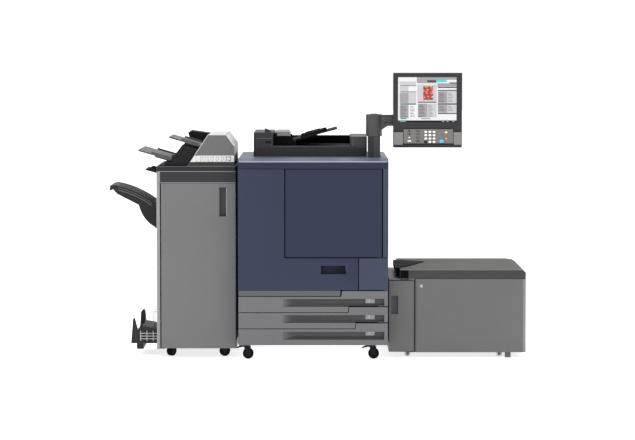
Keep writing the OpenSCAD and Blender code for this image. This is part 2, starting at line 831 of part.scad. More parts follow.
module panel_arm() color("#5b595b") {
  difference() {
    union() {
      rod_z([pivot.x, pivot.y, post_top], hub_h, hub_r);
      front_view(pivot.y - beam_d / 2, pivot.y + beam_d / 2)
        polygon([[pivot.x, beam_top - 2], [tilt_x, beam_top - 2], [tilt_x, beam_top - beam_h],
                 [pivot.x + 70, beam_top - beam_h], [pivot.x + 34, beam_top - beam_h - 24],
                 [pivot.x, beam_top - beam_h - 24]]);
      rod_z([pivot.x, pivot.y, beam_top - touch], 4, hub_r * 0.45);
    }
    rod_z([pivot.x, pivot.y, post_top - 1], hub_h * 0.6 + 2, pivot_r + fit);
  }
  rod_x([tilt_x - 1, pivot.y, tilt_z], barrel_w, tilt_r);
}

// Wells that the keys slide in
module key_well(x, z, w, h) {
  block([x - slip, panel_y - 1, z - slip], [x + w + slip, key_y + 4, z + h + slip]);
}

function key_grid_x(i) = panel_x + 158 + i * 21;
function key_grid_z(j) = keys_z + 14 + j * 17;
start_spot = [panel_x + 232, keys_z + 14];
stop_spot = [panel_x + 262, keys_z + 30];
reset_spot = [panel_x + 262, keys_z + 62];

module panel_housing() color("#4a4a4c") {
  z1 = panel_z + panel_h;
  difference() {
    union() {
      side_view(panel_x, panel_x + panel_w)
        polygon([[panel_y, panel_z + 8], [panel_y + 10, panel_z], [panel_back - 14, panel_z],
                 [panel_back, panel_z + 40], [panel_back, z1 - 30], [panel_back - 20, z1],
                 [panel_y + 3, z1], [panel_y, z1 - 3]]);
      rod_x([tilt_x + 1, pivot.y, tilt_z], barrel_w - 6, barrel_r);
      block([tilt_x + 1, panel_back - 2, tilt_z - 16],
            [tilt_x + barrel_w - 5, pivot.y - 12, tilt_z + 16]);
    }
    rod_x([tilt_x, pivot.y, tilt_z], barrel_w, tilt_r + fit);
    block([screen_x - 0.5, panel_y - 1, screen_z - 0.5],
          [screen_x + screen_w + 0.5, panel_y + 8, screen_z + screen_h + 0.5]);
    for (i = [0 : 2], j = [0 : 3])
      key_well(key_grid_x(i), key_grid_z(j), 15, 11);
    key_well(start_spot.x, start_spot.y, 26, 18);
    key_well(stop_spot.x, stop_spot.y, 14, 12);
    key_well(reset_spot.x, reset_spot.y, 14, 12);
  }
}

module panel_screen() color("#dfe6ea") {
  block([screen_x, panel_y + 3, screen_z], [screen_x + screen_w, panel_y + 8, screen_z + screen_h]);
}

// A key cap stands proud of its well and keeps its travel behind it
module key_cap(x, z, w, h) {
  cap_back = key_y + 4 - key_travel - 0.5;
  block([x, panel_y - 3, z], [x + w, cap_back, z + h]);
}

module start_key() color("#5fb4d8") {
  key_cap(start_spot.x, start_spot.y, 26, 18);
}

module stop_key() color("#c9403c") {
  key_cap(stop_spot.x, stop_spot.y, 14, 12);
}

module reset_key() color("#e8c64a") {
  key_cap(reset_spot.x, reset_spot.y, 14, 12);
}

module number_keys() color("#e6e6e4") {
  for (i = [0 : 2], j = [0 : 3])
    key_cap(key_grid_x(i), key_grid_z(j), 15, 11);
}

// ---- Finisher ----

module finisher_cabinet() color("#7d7d7f") {
  slots = [[stack_z + 60, slot_h], [fin_top - 28, 14], [140, slot_h]];
  difference() {
    union() {
      pillar([fin_x, unit_y, fin_pan_z], [fin_x + pillar_w, fin_body_y + 8, fin_cap_z + touch], 6);
      pillar([fin_x + pillar_w - 8, unit_y, fin_band_z],
             [fin_r, fin_body_y + 8, fin_cap_z + touch], 3);
      block([fin_x, fin_body_y, fin_pan_z], [fin_r, fin_b, fin_cap_z + touch]);
      pillar([fin_x, unit_y, fin_cap_z], [fin_r, fin_b, fin_top], 6);
    }
    block([fin_x + wall, fin_body_y + wall, fin_pan_z + pan_t],
          [fin_r - wall, fin_b - wall, fin_top - wall]);
    block([fin_x + wall + 20, fin_body_y - 1, 140], [fin_r - wall - 16, fin_body_y + wall + 1,
           fin_band_z - 40]);
    for (s = slots)
      block([fin_x - 1, stack_y + 10, s[0]],
            [fin_x + wall + 1, stack_y + stack_d - 50, s[0] + s[1]]);
    for (x = finisher_casters)
      rod_z([x, unit_y + 100, fin_pan_z - touch], 14, stem_r + fit);
  }
  rod_z([fin_hinge.x, fin_hinge.y, fin_band_z - pin_l], pin_l + 2, pin_r);
  for (y = [stack_y + 40, stack_y + stack_d - 60])
    block([fin_x - stack_rail_t, y, 240], [fin_x + 1, y + stack_rail_w, stack_z + 20]);
  for (x = [fin_x + 100, fin_r - 100])
    rear_caster_bracket(x, fin_b - 80);
  for (z = [300, 700])
    block([fin_r - 1, unit_y + 300, z], [eng_x, unit_y + 360, z + 40]);
  for (z = [300, 460, 620])
    rod_x([fin_x + wall - 1, unit_y + 160, z], fin_w - 2 * wall + 2, 18);
}

// Skirt round the casters, with the lower hinge pin of the door
module finisher_skirt() color("#7d7d7f") {
  difference() {
    union() {
      block([fin_x, fin_body_y, fin_bottom], [fin_r, fin_b, fin_pan_z]);
      pillar([fin_x, unit_y, fin_bottom], [fin_x + pillar_w, fin_body_y + 8, fin_pan_z], 6);
    }
    block([fin_x + wall, fin_body_y + 3, fin_bottom - 1],
          [fin_r - wall, fin_b - wall, fin_pan_z + 1]);
  }
  block([fin_x + 6, unit_y + 2, fin_bottom + 2], [fin_hinge.x + 8, fin_body_y + 2, fin_bottom + 5]);
  rod_z([fin_hinge.x, fin_hinge.y, fin_bottom + 3], pin_l + 4, pin_r);
}

module finisher_door() color("#818183") {
  x0 = fin_door_x;
  x1 = fin_r - 2;
  z0 = fin_bottom + 6;
  z1 = fin_band_z - 3;
  y1 = unit_y + fin_door_t;
  gx = fin_x + 320;
  gz = 722;
  difference() {
    union() {
      difference() {
        block([x0, unit_y, z0], [x1, y1, z1]);
        block([x0 + skin, unit_y + skin, z0 + skin], [x1 - skin, y1 + 1, z1 - skin]);
      }
      hinge_bosses(fin_hinge, z0, z1, 8);
      block([gx - skin, unit_y + skin, gz - skin], [gx + 38 + skin, unit_y + 30, gz + 147 + skin]);
    }
    hinge_bores(fin_hinge, z0, z1);
    block([gx, unit_y - 1, gz], [gx + 38, unit_y + 26, gz + 147]);
  }
}

// Outlines of the stacker tray: a curved bed on a bracket that curves down to its root
stack_tip = [fin_x - stack_reach, stack_z + 74];
stack_root = fin_x - stack_rail_t;

module stack_bed(t) {
  upper = bow([stack_root, stack_z], [stack_tip.x + 26, stack_z + 103], -15);
  polygon(concat(upper, [[stack_tip.x + 4, stack_z + 100], stack_tip,
          [stack_tip.x + 14, stack_z + 76]], [for (i = [8 : -1 : 0]) upper[i] - [0, t]]));
}

module stack_rib() {
  upper = bow([stack_root, stack_z], [stack_tip.x + 26, stack_z + 103], -15);
  lower = bow([stack_root - 34, stack_z - 98], [stack_tip.x + 150, stack_z], 9);
  polygon(concat([for (p = upper) p - [0, 2]], [stack_tip + [20, 4]], [stack_tip + [40, -18]],
          [for (i = [8 : -1 : 0]) lower[i]], [[stack_root, stack_z - 120]]));
}

module stacker_tray() color("#2b2b2d") {
  front_view(stack_y, stack_y + stack_d)
    stack_bed(7);
  for (i = [0 : 5])
    front_view(stack_y + i * (stack_d - 10) / 5, stack_y + 10 + i * (stack_d - 10) / 5)
      stack_rib();
  block([stack_root - 8, stack_y, stack_z - 120], [stack_root, stack_y + stack_d, stack_z - 6]);
}

module proof_tray() color("#2e2e30") {
  z = fin_top - 34;
  front_view(proof_y, proof_y + 280)
    polygon([[fin_x, z - 8], [fin_x, z + 4], [fin_x - proof_reach, z + 16],
             [fin_x - proof_reach, z + 10]]);
  for (i = [0 : 4])
    front_view(proof_y + 10 + i * 62, proof_y + 18 + i * 62)
      polygon([[fin_x, z + 3], [fin_x - 20, z + 16], [fin_x - proof_reach + 24, z + 22],
               [fin_x - proof_reach + 10, z + 14]]);
}

// Booklet tray: curved bed, two stop fins, foot and wire guides
module booklet_tray() color("#343436") {
  tip = fin_x - book_reach;
  bed = bow([fin_x, 128], [fin_x - 84, 150], -5);
  front_view(book_y, book_y + book_d)
    polygon(concat(bed, [[fin_x - 84, 142]], [for (i = [8 : -1 : 0]) bed[i] - [0, 8]]));
  for (i = [0 : 3])
    front_view(book_y + 4 + i * (book_d - 16) / 3, book_y + 12 + i * (book_d - 16) / 3)
      polygon(concat([[fin_x, 62]], [for (p = bed) p - [0, 4]], [[tip + 30, 130], [tip + 26, 62]]));
  front_view(book_y, book_y + 60)
    polygon([[tip, 62], [tip + 10, 188], [tip + 16, 188], [tip + 32, 128], [tip + 40, 62]]);
  front_view(book_y + book_d - 60, book_y + book_d)
    polygon([[tip + 24, 62], [tip + 34, 200], [tip + 44, 210], [tip + 54, 206], [tip + 60, 150],
             [tip + 60, 62]]);
  block([tip + 2, book_y, 62], [fin_x, book_y + book_d, 70]);
  block([tip + 28, book_y + 20, 31], [tip + 62, book_y + book_d - 20, 63]);
  for (y = [book_y + 90, book_y + book_d - 90]) {
    rod_z([fin_x - 30, y, 120], 98, 2);
    rod_x([fin_x - 30, y, 216], 30, 2);
    rod_z([tip + 72, y, 66], 130, 2);
  }
}

// ---- Cover inserter ----

module inserter_housing() color("#7b7b7d") {
  y0 = unit_y;
  difference() {
    front_view(y0, y0 + ins_d)
      polygon([[ins_x, fin_top], [ins_top_x, ins_top_z], [ins_top_x + ins_top_w, ins_top_z],
               [ins_r, ins_top_z - 56], [ins_r, fin_top]]);
    for (i = [0 : 5])
      block([ins_key_x(i) - slip, y0 - 1, strip_z + 8 - slip],
            [ins_key_x(i) + ins_key_w(i) + slip, y0 + 9, strip_z + 24 + slip]);
  }
}

function ins_key_x(i) = ins_x + 70 + i * 26;
function ins_key_w(i) = i == 5 ? 22 : 12;

module inserter_keys() color("#ececec") {
  for (i = [0 : 5])
    block([ins_key_x(i), unit_y - 2.5, strip_z + 8],
          [ins_key_x(i) + ins_key_w(i), unit_y + 8.5 - key_travel, strip_z + 24]);
}

// Distance of the housing's leaning side from its foot at a height above the finisher
function lean(h) = ins_x + h * ins_lean;

// Black feed head between the trays, on its base plate, with the guide frame at its back
module inserter_feed_head() color("#1b1b1c") {
  front_view(unit_y + 20, unit_y + ins_d - 20)
    polygon([[ins_x - 113, fin_top], [lean(0) - fit, fin_top], [lean(88) - fit, fin_top + 88],
             [ins_x, fin_top + 104], [ins_x - 24, fin_top + 108], [ins_x - 62, fin_top + 58],
             [head_x, fin_top + 54], [head_x, fin_top + 22], [ins_x - 113, fin_top + 22]]);
  front_view(unit_y + 420, unit_y + ins_d - 22)
    polygon([[ins_x + 10, fin_top + 80], [lean(80) - fit, fin_top + 80],
             [lean(ins_h - 6) - fit, ins_top_z - 6], [ins_x, ins_top_z + 8],
             [ins_x - 14, ins_top_z - 2]]);
}

// A sheet tray that slopes up and out to the left from its root
module sloped_tray(root, length, y0, y1, t) {
  translate([root.x, 0, root.y])
    rotate([0, ins_slope, 0]) {
      block([-length, y0, 0], [0, y1, t]);
      for (y = [y0, y1 - 8])
        block([-length * 0.62, y, t - touch], [-10, y + 8, t + 9]);
      block([-length * 0.5, y0 + 40, -8], [-9, y1 - 40, touch]);
    }
}

module inserter_lower_tray() color("#8a8a8c") {
  sloped_tray([head_x - ins_tray_t * sin(ins_slope) - slip, fin_top + 28], 176, unit_y + 30,
              unit_y + ins_d - 60, ins_tray_t);
}

module inserter_upper_tray() color("#77777a") {
  sloped_tray([lean(98) - slip, fin_top + 98], 164, unit_y + 30, unit_y + ins_d - 220,
              ins_tray_t);
}

// ---- Paper bank ----

module bank_cabinet() color("#6f6f70") {
  x0 = bank_x;
  inner_x = relay_r + 20;
  fy = unit_y + bank_front_t;
  difference() {
    union() {
      block([x0, fy, bank_bottom], [bank_r, bank_b, bank_top]);
      block([x0, fy - 16, bank_top - 8], [lid_x, fy + 1, bank_top]);
    }
    block([inner_x, fy + 20, bank_pan_z + 30], [bank_r - wall - 8, bank_b - 30, bank_top + 1]);
    block([x0 + wall, fy - 1, bank_bottom + 40], [relay_r - wall, fy + 120, bank_top - 30]);
    block([x0 + 6, fy + 6, bank_bottom - 1], [bank_r - 6, bank_b - 6, bank_pan_z]);
  }
  for (x = bank_casters, y = bank_caster_rows)
    small_caster_bracket(x, y);
  side_view(bank_r - foot_in - foot_w, bank_r - foot_in)
    polygon([[fy + 8, bank_pan_z + touch], [fy + 2, 8], [fy + 4, 0], [fy + 44, 0], [fy + 46, 8],
             [fy + 40, bank_pan_z + touch]]);
  for (x = [lid_x + 60, bank_r - 80]) {
    block([x - 20, bank_b - touch, bank_top - 30], [x - 2, bank_b + 14, bank_top]);
    rod_x([x - 20, lid_hinge.x, lid_hinge.y], 18, 7);
    rod_x([x - 3, lid_hinge.x, lid_hinge.y], 22, 3);
  }
  block([eng_r, unit_y + 300, 200], [x0 + 1, unit_y + 360, 240]);
  block([relay_r - 26, unit_y + 2, bank_bottom], [relay_r + 1, fy + 1, bank_bottom + 3]);
  rod_z([relay_hinge.x, relay_hinge.y, bank_bottom + 2], pin_l + 4, relay_pin_r);
  rod_z([relay_hinge.x, relay_hinge.y, bank_top - 8 - pin_l], pin_l + 1, relay_pin_r);
  block([relay_r - 26, unit_y + 2, bank_top - 8], [relay_r + 1, fy + 1, bank_top]);
}

module bank_front_panel() color("#7a7a7b") {
  difference() {
    intersection() {
      pillar([relay_r + 2, unit_y, bank_bottom], [bank_r, unit_y + 60, bank_top - 2], corner_r);
      block([relay_r, unit_y - 1, 0], [bank_r + 1, unit_y + bank_front_t, bank_top]);
    }
    block([relay_r + 20, unit_y + 8, bank_bottom + 20],
          [bank_r - 24, unit_y + bank_front_t + 1, bank_top - 22]);
  }
}

module bank_relay_door() color("#6b6b6c") {
  x0 = bank_x;
  x1 = relay_r - 2;
  z0 = bank_bottom + 6;
  z1 = bank_top - 11;
  y1 = unit_y + bank_front_t - 3;
  gx = x0 + 12;
  gz = 226;
  difference() {
    block([x0, unit_y, z0], [x1, y1, z1]);
    block([gx, unit_y - 1, gz], [gx + 34, unit_y + 13, gz + 92]);
    rod_z([relay_hinge.x, relay_hinge.y, z0 - 1], pin_l + 8, relay_pin_r + fit);
    rod_z([relay_hinge.x, relay_hinge.y, z1 - pin_l - 7], pin_l + 8, relay_pin_r + fit);
  }
}

module bank_lid() color("#5c5b5a") {
  y0 = unit_y;
  y1 = bank_b;
  difference() {
    front_view(y0, y1)
      polygon([[lid_x, bank_top], [lid_x, bank_top_z], [bank_r - 56, bank_top_z],
               [bank_r - 20, bank_top_z - 5], [bank_r - 2, bank_top_z - 17],
               [bank_r - 2, bank_top]]);
    block([lid_x + 8, y0 + 12, bank_top - 1], [bank_r - 24, y1 - 30, bank_top_z - 10]);
  }
  translate([0, 0, bank_top_z - touch])
    linear_extrude(4)
      polygon([[lid_x, y0 + 72], [lid_x + 50, y0 + 170], [lid_x + 142, y0 + 470],
               [lid_x, y0 + 570]]);
  block([lid_x - 20, y0 + 72, bank_top + 22], [lid_x + touch, y0 + 570, bank_top_z + 3.5]);
  for (x = [lid_x + 60, bank_r - 80])
    difference() {
      union() {
        block([x - 1, bank_b - 1, bank_top + 1], [x + 17, bank_b + 8, bank_top + 9]);
        rod_x([x - 1, lid_hinge.x, lid_hinge.y], 18, 7);
      }
      rod_x([x - 2, lid_hinge.x, lid_hinge.y], 20, 3 + fit);
    }
}

module bank_lift_plate() color("#a9abad") {
  fy = unit_y + bank_front_t;
  block([relay_r + 20 + slip, fy + 20 + slip, bank_pan_z + 30],
        [bank_r - wall - 8 - slip, bank_b - 30 - slip, bank_pan_z + 34]);
}

// ---- Casters ----

// Swivel fork with stem, crown, two arms, axle and brake lever
module caster_fork(x, y, turn, top) {
  arm_y = wheel_w / 2 + arm_gap;
  lever_z = crown_z + (top - crown_z) * 6 / 13;
  translate([x, y, 0])
    rotate([0, 0, turn]) {
      rod_z([0, 0, crown_z], top - crown_z, crown_r);
      rod_z([0, 0, top - 1], 11, stem_r);
      for (side = [-1, 1])
        front_view(side * arm_y - (side < 0 ? arm_t : 0), side * arm_y + (side > 0 ? arm_t : 0))
          polygon([[-10, crown_z + 2], [trail - 8, wheel_r - 6], [trail + 8, wheel_r - 6],
                   [trail + 14, crown_z + 2]]);
      rod_y([trail, -arm_y - 1, wheel_r], 2 * arm_y + 2, axle_r);
      front_view(-10, 10)
        polygon([[-crown_r + 6, lever_z], [-crown_r + 6, crown_z], [-crown_r - 24, crown_z - 8],
                 [-crown_r - 26, crown_z - 4], [-crown_r - 6, lever_z]]);
    }
}

// Wheel with a bore, a hub step and rounded tread edges
module caster_wheel(r, w, bore) {
  rotate([-90, 0, 0])
    rotate_extrude()
      polygon([[bore, -w / 2], [r * 0.45, -w / 2], [r * 0.5, -w / 2 + 2], [r * 0.8, -w / 2 + 2],
               [r * 0.86, -w / 2], [r - 3, -w / 2], [r, -w / 2 + 3], [r, w / 2 - 3],
               [r - 3, w / 2], [r * 0.86, w / 2], [r * 0.8, w / 2 - 2], [r * 0.5, w / 2 - 2],
               [r * 0.45, w / 2], [bore, w / 2]]);
}

module swivel_wheel(x, y, turn) {
  translate([x, y, 0])
    rotate([0, 0, turn])
      translate([trail, 0, wheel_r])
        caster_wheel(wheel_r, wheel_w, axle_r + fit);
}

// Fixed bracket of a rear caster, whose wheel rolls front to back
module rear_caster_bracket(x, y) {
  arm_x = wheel_w / 2 + arm_gap;
  block([x - arm_x - arm_t, y - 20, crown_z], [x + arm_x + arm_t, y + 20, eng_bottom + 2]);
  for (side = [-1, 1])
    side_view(x + side * arm_x - (side < 0 ? arm_t : 0), x + side * arm_x + (side > 0 ? arm_t : 0))
      polygon([[y - 18, crown_z + 2], [y - 8, wheel_r - 6], [y + 8, wheel_r - 6],
               [y + 18, crown_z + 2]]);
  rod_x([x - arm_x - 1, y, wheel_r], 2 * arm_x + 2, axle_r);
}

module rear_wheels(xs, y) {
  for (x = xs)
    translate([x, y, wheel_r])
      rotate([0, 0, 90])
        caster_wheel(wheel_r, wheel_w, axle_r + fit);
}

// Fixed bracket of one of the paper bank's small wheels
module small_caster_bracket(x, y) {
  arm_y = small_w / 2 + 1;
  block([x - 12, y - arm_y - 2, 2 * small_r + 2], [x + 12, y + arm_y + 2, bank_pan_z + touch]);
  for (side = [-1, 1])
    front_view(y + side * arm_y - (side < 0 ? 2 : 0), y + side * arm_y + (side > 0 ? 2 : 0))
      polygon([[x - 10, 2 * small_r + 3], [x - 6, small_r - 5], [x + 6, small_r - 5],
               [x + 10, 2 * small_r + 3]]);
  rod_y([x, y - arm_y - 1, small_r], 2 * arm_y + 2, small_axle_r);
}

module small_wheel(x, y) {
  translate([x, y, small_r])
    caster_wheel(small_r, small_w, small_axle_r + fit);
}

module engine_left_fork() color("#1d1d1f") {
  caster_fork(engine_casters[0], eng_y + 70, 0, eng_bottom);
}

module engine_right_fork() color("#1d1d1f") {
  caster_fork(engine_casters[1], eng_y + 70, 0, eng_bottom);
}

module engine_left_wheel() color("#141415") {
  swivel_wheel(engine_casters[0], eng_y + 70, 0);
}

module engine_right_wheel() color("#141415") {
  swivel_wheel(engine_casters[1], eng_y + 70, 0);
}

module engine_rear_wheels() color("#141415") {
  rear_wheels([eng_x + 90, eng_r - 90], eng_b - 70);
}

module finisher_left_fork() color("#1d1d1f") {
  caster_fork(finisher_casters[0], unit_y + 100, swivel_rest, fin_pan_z);
}

module finisher_right_fork() color("#1d1d1f") {
  caster_fork(finisher_casters[1], unit_y + 100, 0, fin_pan_z);
}

module finisher_left_wheel() color("#141415") {
  swivel_wheel(finisher_casters[0], unit_y + 100, swivel_rest);
}

module finisher_right_wheel() color("#141415") {
  swivel_wheel(finisher_casters[1], unit_y + 100, 0);
}

module finisher_rear_wheels() color("#141415") {
  rear_wheels([fin_x + 100, fin_r - 100], fin_b - 80);
}

module bank_left_front_wheel() color("#8b8d90") {
  small_wheel(bank_casters[0], bank_caster_rows[0]);
}

module bank_left_rear_wheel() color("#8b8d90") {
  small_wheel(bank_casters[0], bank_caster_rows[1]);
}

module bank_right_front_wheel() color("#8b8d90") {
  small_wheel(bank_casters[1], bank_caster_rows[0]);
}

module bank_right_rear_wheel() color("#8b8d90") {
  small_wheel(bank_casters[1], bank_caster_rows[1]);
}

engine_frame();
engine_left_cover();
engine_right_cover();
engine_rear_cover();
top_deck();
front_cover();
left_front_door();
toner_door();
waste_toner_door();
toner_bottles();
imaging_drums();
transfer_belt();
fuser_unit();
drawer_1_front();
drawer_2_front();
drawer_3_front();
drawer_1_tray();
drawer_2_tray();
drawer_3_tray();
drawer_runners();
scanner_base();
platen_glass();
feeder_body();
feeder_cover();
document_tray();
panel_post();
panel_arm();
panel_housing();
panel_screen();
start_key();
stop_key();
reset_key();
number_keys();
finisher_cabinet();
finisher_skirt();
finisher_door();
stacker_tray();
proof_tray();
booklet_tray();
inserter_housing();
inserter_feed_head();
inserter_upper_tray();
inserter_lower_tray();
inserter_keys();
bank_cabinet();
bank_front_panel();
bank_relay_door();
bank_lid();
bank_lift_plate();
engine_left_fork();
engine_right_fork();
engine_left_wheel();
engine_right_wheel();
engine_rear_wheels();
finisher_left_fork();
finisher_right_fork();
finisher_left_wheel();
finisher_right_wheel();
finisher_rear_wheels();
bank_left_front_wheel();
bank_left_rear_wheel();
bank_right_front_wheel();
bank_right_rear_wheel();
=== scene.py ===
import json
import math

import bmesh
import bpy
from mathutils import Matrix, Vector

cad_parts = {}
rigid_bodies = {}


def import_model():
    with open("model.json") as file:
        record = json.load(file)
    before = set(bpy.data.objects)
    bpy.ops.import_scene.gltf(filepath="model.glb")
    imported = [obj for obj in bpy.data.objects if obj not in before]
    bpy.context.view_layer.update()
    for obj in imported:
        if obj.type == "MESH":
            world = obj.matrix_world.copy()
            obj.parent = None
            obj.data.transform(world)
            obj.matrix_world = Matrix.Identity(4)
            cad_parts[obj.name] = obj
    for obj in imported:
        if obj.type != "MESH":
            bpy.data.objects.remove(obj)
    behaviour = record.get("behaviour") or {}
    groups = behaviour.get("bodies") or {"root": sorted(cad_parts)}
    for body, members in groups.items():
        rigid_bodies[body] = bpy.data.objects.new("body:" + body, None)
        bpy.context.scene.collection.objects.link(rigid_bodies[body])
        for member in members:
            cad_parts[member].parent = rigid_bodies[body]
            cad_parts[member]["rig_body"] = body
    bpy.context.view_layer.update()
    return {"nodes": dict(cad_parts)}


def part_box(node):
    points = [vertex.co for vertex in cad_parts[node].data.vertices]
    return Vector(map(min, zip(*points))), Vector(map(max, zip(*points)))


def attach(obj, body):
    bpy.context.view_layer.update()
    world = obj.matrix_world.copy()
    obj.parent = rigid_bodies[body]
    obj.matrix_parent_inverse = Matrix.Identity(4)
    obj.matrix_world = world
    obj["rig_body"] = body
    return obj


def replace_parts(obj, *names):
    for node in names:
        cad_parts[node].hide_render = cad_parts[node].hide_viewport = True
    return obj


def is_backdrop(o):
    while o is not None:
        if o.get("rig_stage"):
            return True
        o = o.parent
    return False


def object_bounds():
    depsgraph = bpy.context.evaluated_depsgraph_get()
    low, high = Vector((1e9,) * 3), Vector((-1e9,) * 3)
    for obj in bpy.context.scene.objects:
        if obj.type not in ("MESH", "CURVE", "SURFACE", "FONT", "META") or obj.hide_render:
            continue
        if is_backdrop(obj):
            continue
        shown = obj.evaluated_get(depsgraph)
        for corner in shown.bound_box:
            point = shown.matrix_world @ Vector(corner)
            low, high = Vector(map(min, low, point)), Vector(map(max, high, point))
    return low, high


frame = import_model()

# Engine covers: side, rear and top covers of navy ABS, injection moulded with a spark-eroded
# grain, and a rear cover in the same plastic with louvres and the power inlet. They hook on to
# the steel frame and are held by pan-head screws.
MM = 0.001
AXES = {"x": Vector((1, 0, 0)), "y": Vector((0, 1, 0)), "z": Vector((0, 0, 1))}
RING_CUTS = 120


def linear(code):
    values = [int(code[i : i + 2], 16) / 255 for i in (0, 2, 4)]
    return [v / 12.92 if v <= 0.04045 else ((v + 0.055) / 1.055) ** 2.4 for v in values] + [1]


def add_node(tree, kind, inputs=None, **settings):
    node = tree.nodes.new(kind)
    for name, value in settings.items():
        setattr(node, name, value)
    for socket, value in (inputs or {}).items():
        if isinstance(value, bpy.types.NodeSocket):
            tree.links.new(value, node.inputs[socket])
        else:
            node.inputs[socket].default_value = value
    return node


def finish(name, code, grain_mm, relief_mm, roughness, spread=0.08, edge=0.0, gloss=0.5, **shader):
    """A made surface: cloudy tone, grain of a real size in relief, and edges painted paler as a highlight."""
    material = bpy.data.materials.new(name)
    material.use_nodes = True
    tree = material.node_tree
    principled = tree.nodes["Principled BSDF"]
    for socket, value in {"Specular_IOR_Level": gloss, **shader}.items():
        principled.inputs[socket.replace("_", " ")].default_value = value
    place = add_node(tree, "ShaderNodeTexCoord").outputs["Object"]
    cloud = add_node(tree, "ShaderNodeTexNoise", {"Vector": place, "Scale": 6.0, "Detail": 3.0})
    grain_scale = 1 / (grain_mm * MM)
    grain = add_node(tree, "ShaderNodeTexNoise", {"Vector": place, "Scale": grain_scale, "Detail": 2.0})
    base = linear(code)
    dark = [c * (1 - spread) for c in base[:3]] + [1]
    light = [min(1, c * (1 + spread)) for c in base[:3]] + [1]
    mixed = add_node(tree, "ShaderNodeMix", {0: cloud.outputs[0], 6: dark, 7: light}, data_type="RGBA")
    # edge sets how strongly edges turned from the bevel normal are mixed toward a paler tone: a painted
    # highlight along the edges, not wear.
    if edge:
        rounded_off = add_node(tree, "ShaderNodeBevel", {"Radius": 2.5 * MM}, samples=4)
        flat = add_node(tree, "ShaderNodeNewGeometry")
        normals = {0: rounded_off.outputs[0], 1: flat.outputs["Normal"]}
        facing = add_node(tree, "ShaderNodeVectorMath", normals, operation="DOT_PRODUCT")
        edge_highlight_span = {"Value": facing.outputs["Value"], 1: 0.97, 2: 0.80, 3: 0.0, 4: edge}
        edge_highlight = add_node(tree, "ShaderNodeMapRange", edge_highlight_span)
        pale = [min(1, c * 1.5 + 0.10) for c in base[:3]] + [1]
        tones = {0: edge_highlight.outputs[0], 6: mixed.outputs[2], 7: pale}
        mixed = add_node(tree, "ShaderNodeMix", tones, data_type="RGBA")
    tree.links.new(mixed.outputs[2], principled.inputs["Base Color"])
    touch = {"Value": cloud.outputs[0], 3: roughness - 0.05, 4: min(1.0, roughness + 0.05)}
    handled = add_node(tree, "ShaderNodeMapRange", touch)
    tree.links.new(handled.outputs[0], principled.inputs["Roughness"])
    height = {"Height": grain.outputs[0], "Distance": relief_mm * MM, "Strength": 0.6}
    relief = add_node(tree, "ShaderNodeBump", height)
    tree.links.new(relief.outputs[0], principled.inputs["Normal"])
    return material


def moulded(name, code, roughness, **looks):
    """Injection-moulded plastic with the fine grain of a spark-eroded mould."""
    return finish(name, code, 1.2, 0.05, roughness, **looks)


def put(name, bm, materials, body, smooth_deg=40):
    """Makes a piece of a finished bmesh, shades its curves and rides it on its body."""
    mesh = bpy.data.meshes.new(name)
    bm.to_mesh(mesh)
    bm.free()
    mesh.shade_smooth()
    mesh.set_sharp_from_angle(angle=math.radians(smooth_deg))
    for material in materials:
        mesh.materials.append(material)
    piece = bpy.data.objects.new(name, mesh)
    bpy.context.scene.collection.objects.link(piece)
    weights = piece.modifiers.new("flat_faces", "WEIGHTED_NORMAL")
    weights.keep_sharp = True
    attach(piece, body)
    return piece


def ease_edges(bm, radius_mm):
    """Rounds the long outer edges, as a mould or a press leaves them."""
    radius = radius_mm * MM
    corners = [
        e
        for e in bm.edges
        if e.is_manifold
        and e.is_convex
        and math.radians(40) < e.calc_face_angle() < math.radians(130)
        and e.calc_length() > 6 * radius
        and min(f.calc_area() for f in e.link_faces) > 3.5 * radius * e.calc_length()
    ]
    bmesh.ops.bevel(
        bm, geom=corners, offset=radius, segments=3, profile=0.5, affect="EDGES", clamp_overlap=False
    )


def flat_area(first):
    """Every face that lies level with the first one, in its material, up to a seam."""
    area, queue = {first}, [first]
    while queue:
        for edge in queue.pop().edges:
            for other in edge.link_faces:
                level = other.normal.dot(first.normal) > 0.9999985
                alike = other.material_index == first.material_index
                if level and alike and not edge.seam and other not in area:
                    area.add(other)
                    queue.append(other)
    return area


def outline_spans(area):
    """The size and middle of each outline that bounds an area, with the smallest first."""
    rim = {e for f in area for e in f.edges if e.seam or sum(o in area for o in e.link_faces) == 1}
    spans = []
    while rim:
        outline, queue = set(), [rim.pop()]
        while queue:
            for v in queue.pop().verts:
                outline.add(v)
                near = [e for e in v.link_edges if e in rim]
                rim.difference_update(near)
                queue.extend(near)
        low = Vector(min(v.co[i] for v in outline) for i in range(3))
        high = Vector(max(v.co[i] for v in outline) for i in range(3))
        spans.append(((high - low).length, *((low + high) / 2)))
    return sorted(spans)


def open_ring(bm):
    """Cuts the first flat area that has a hole through that hole's middle, and marks the cut."""
    done = set()
    for first in bm.faces:
        if first in done:
            continue
        area = flat_area(first)
        done |= area
        spans = outline_spans(area)
        if len(spans) > 1:
            break
    else:
        return False
    parts = area | {v for f in area for v in f.verts} | {e for f in area for e in f.edges}
    made = bmesh.ops.bisect_plane(
        bm,
        geom=[part for kind in (bm.verts, bm.edges, bm.faces) for part in kind if part in parts],
        dist=1e-7,
        plane_co=spans[0][1:],
        plane_no=AXES["y" if abs(first.normal.x) > 0.7 else "x"],
    )
    for part in made["geom_cut"]:
        if isinstance(part, bmesh.types.BMEdge):
            part.seam = True
    return True


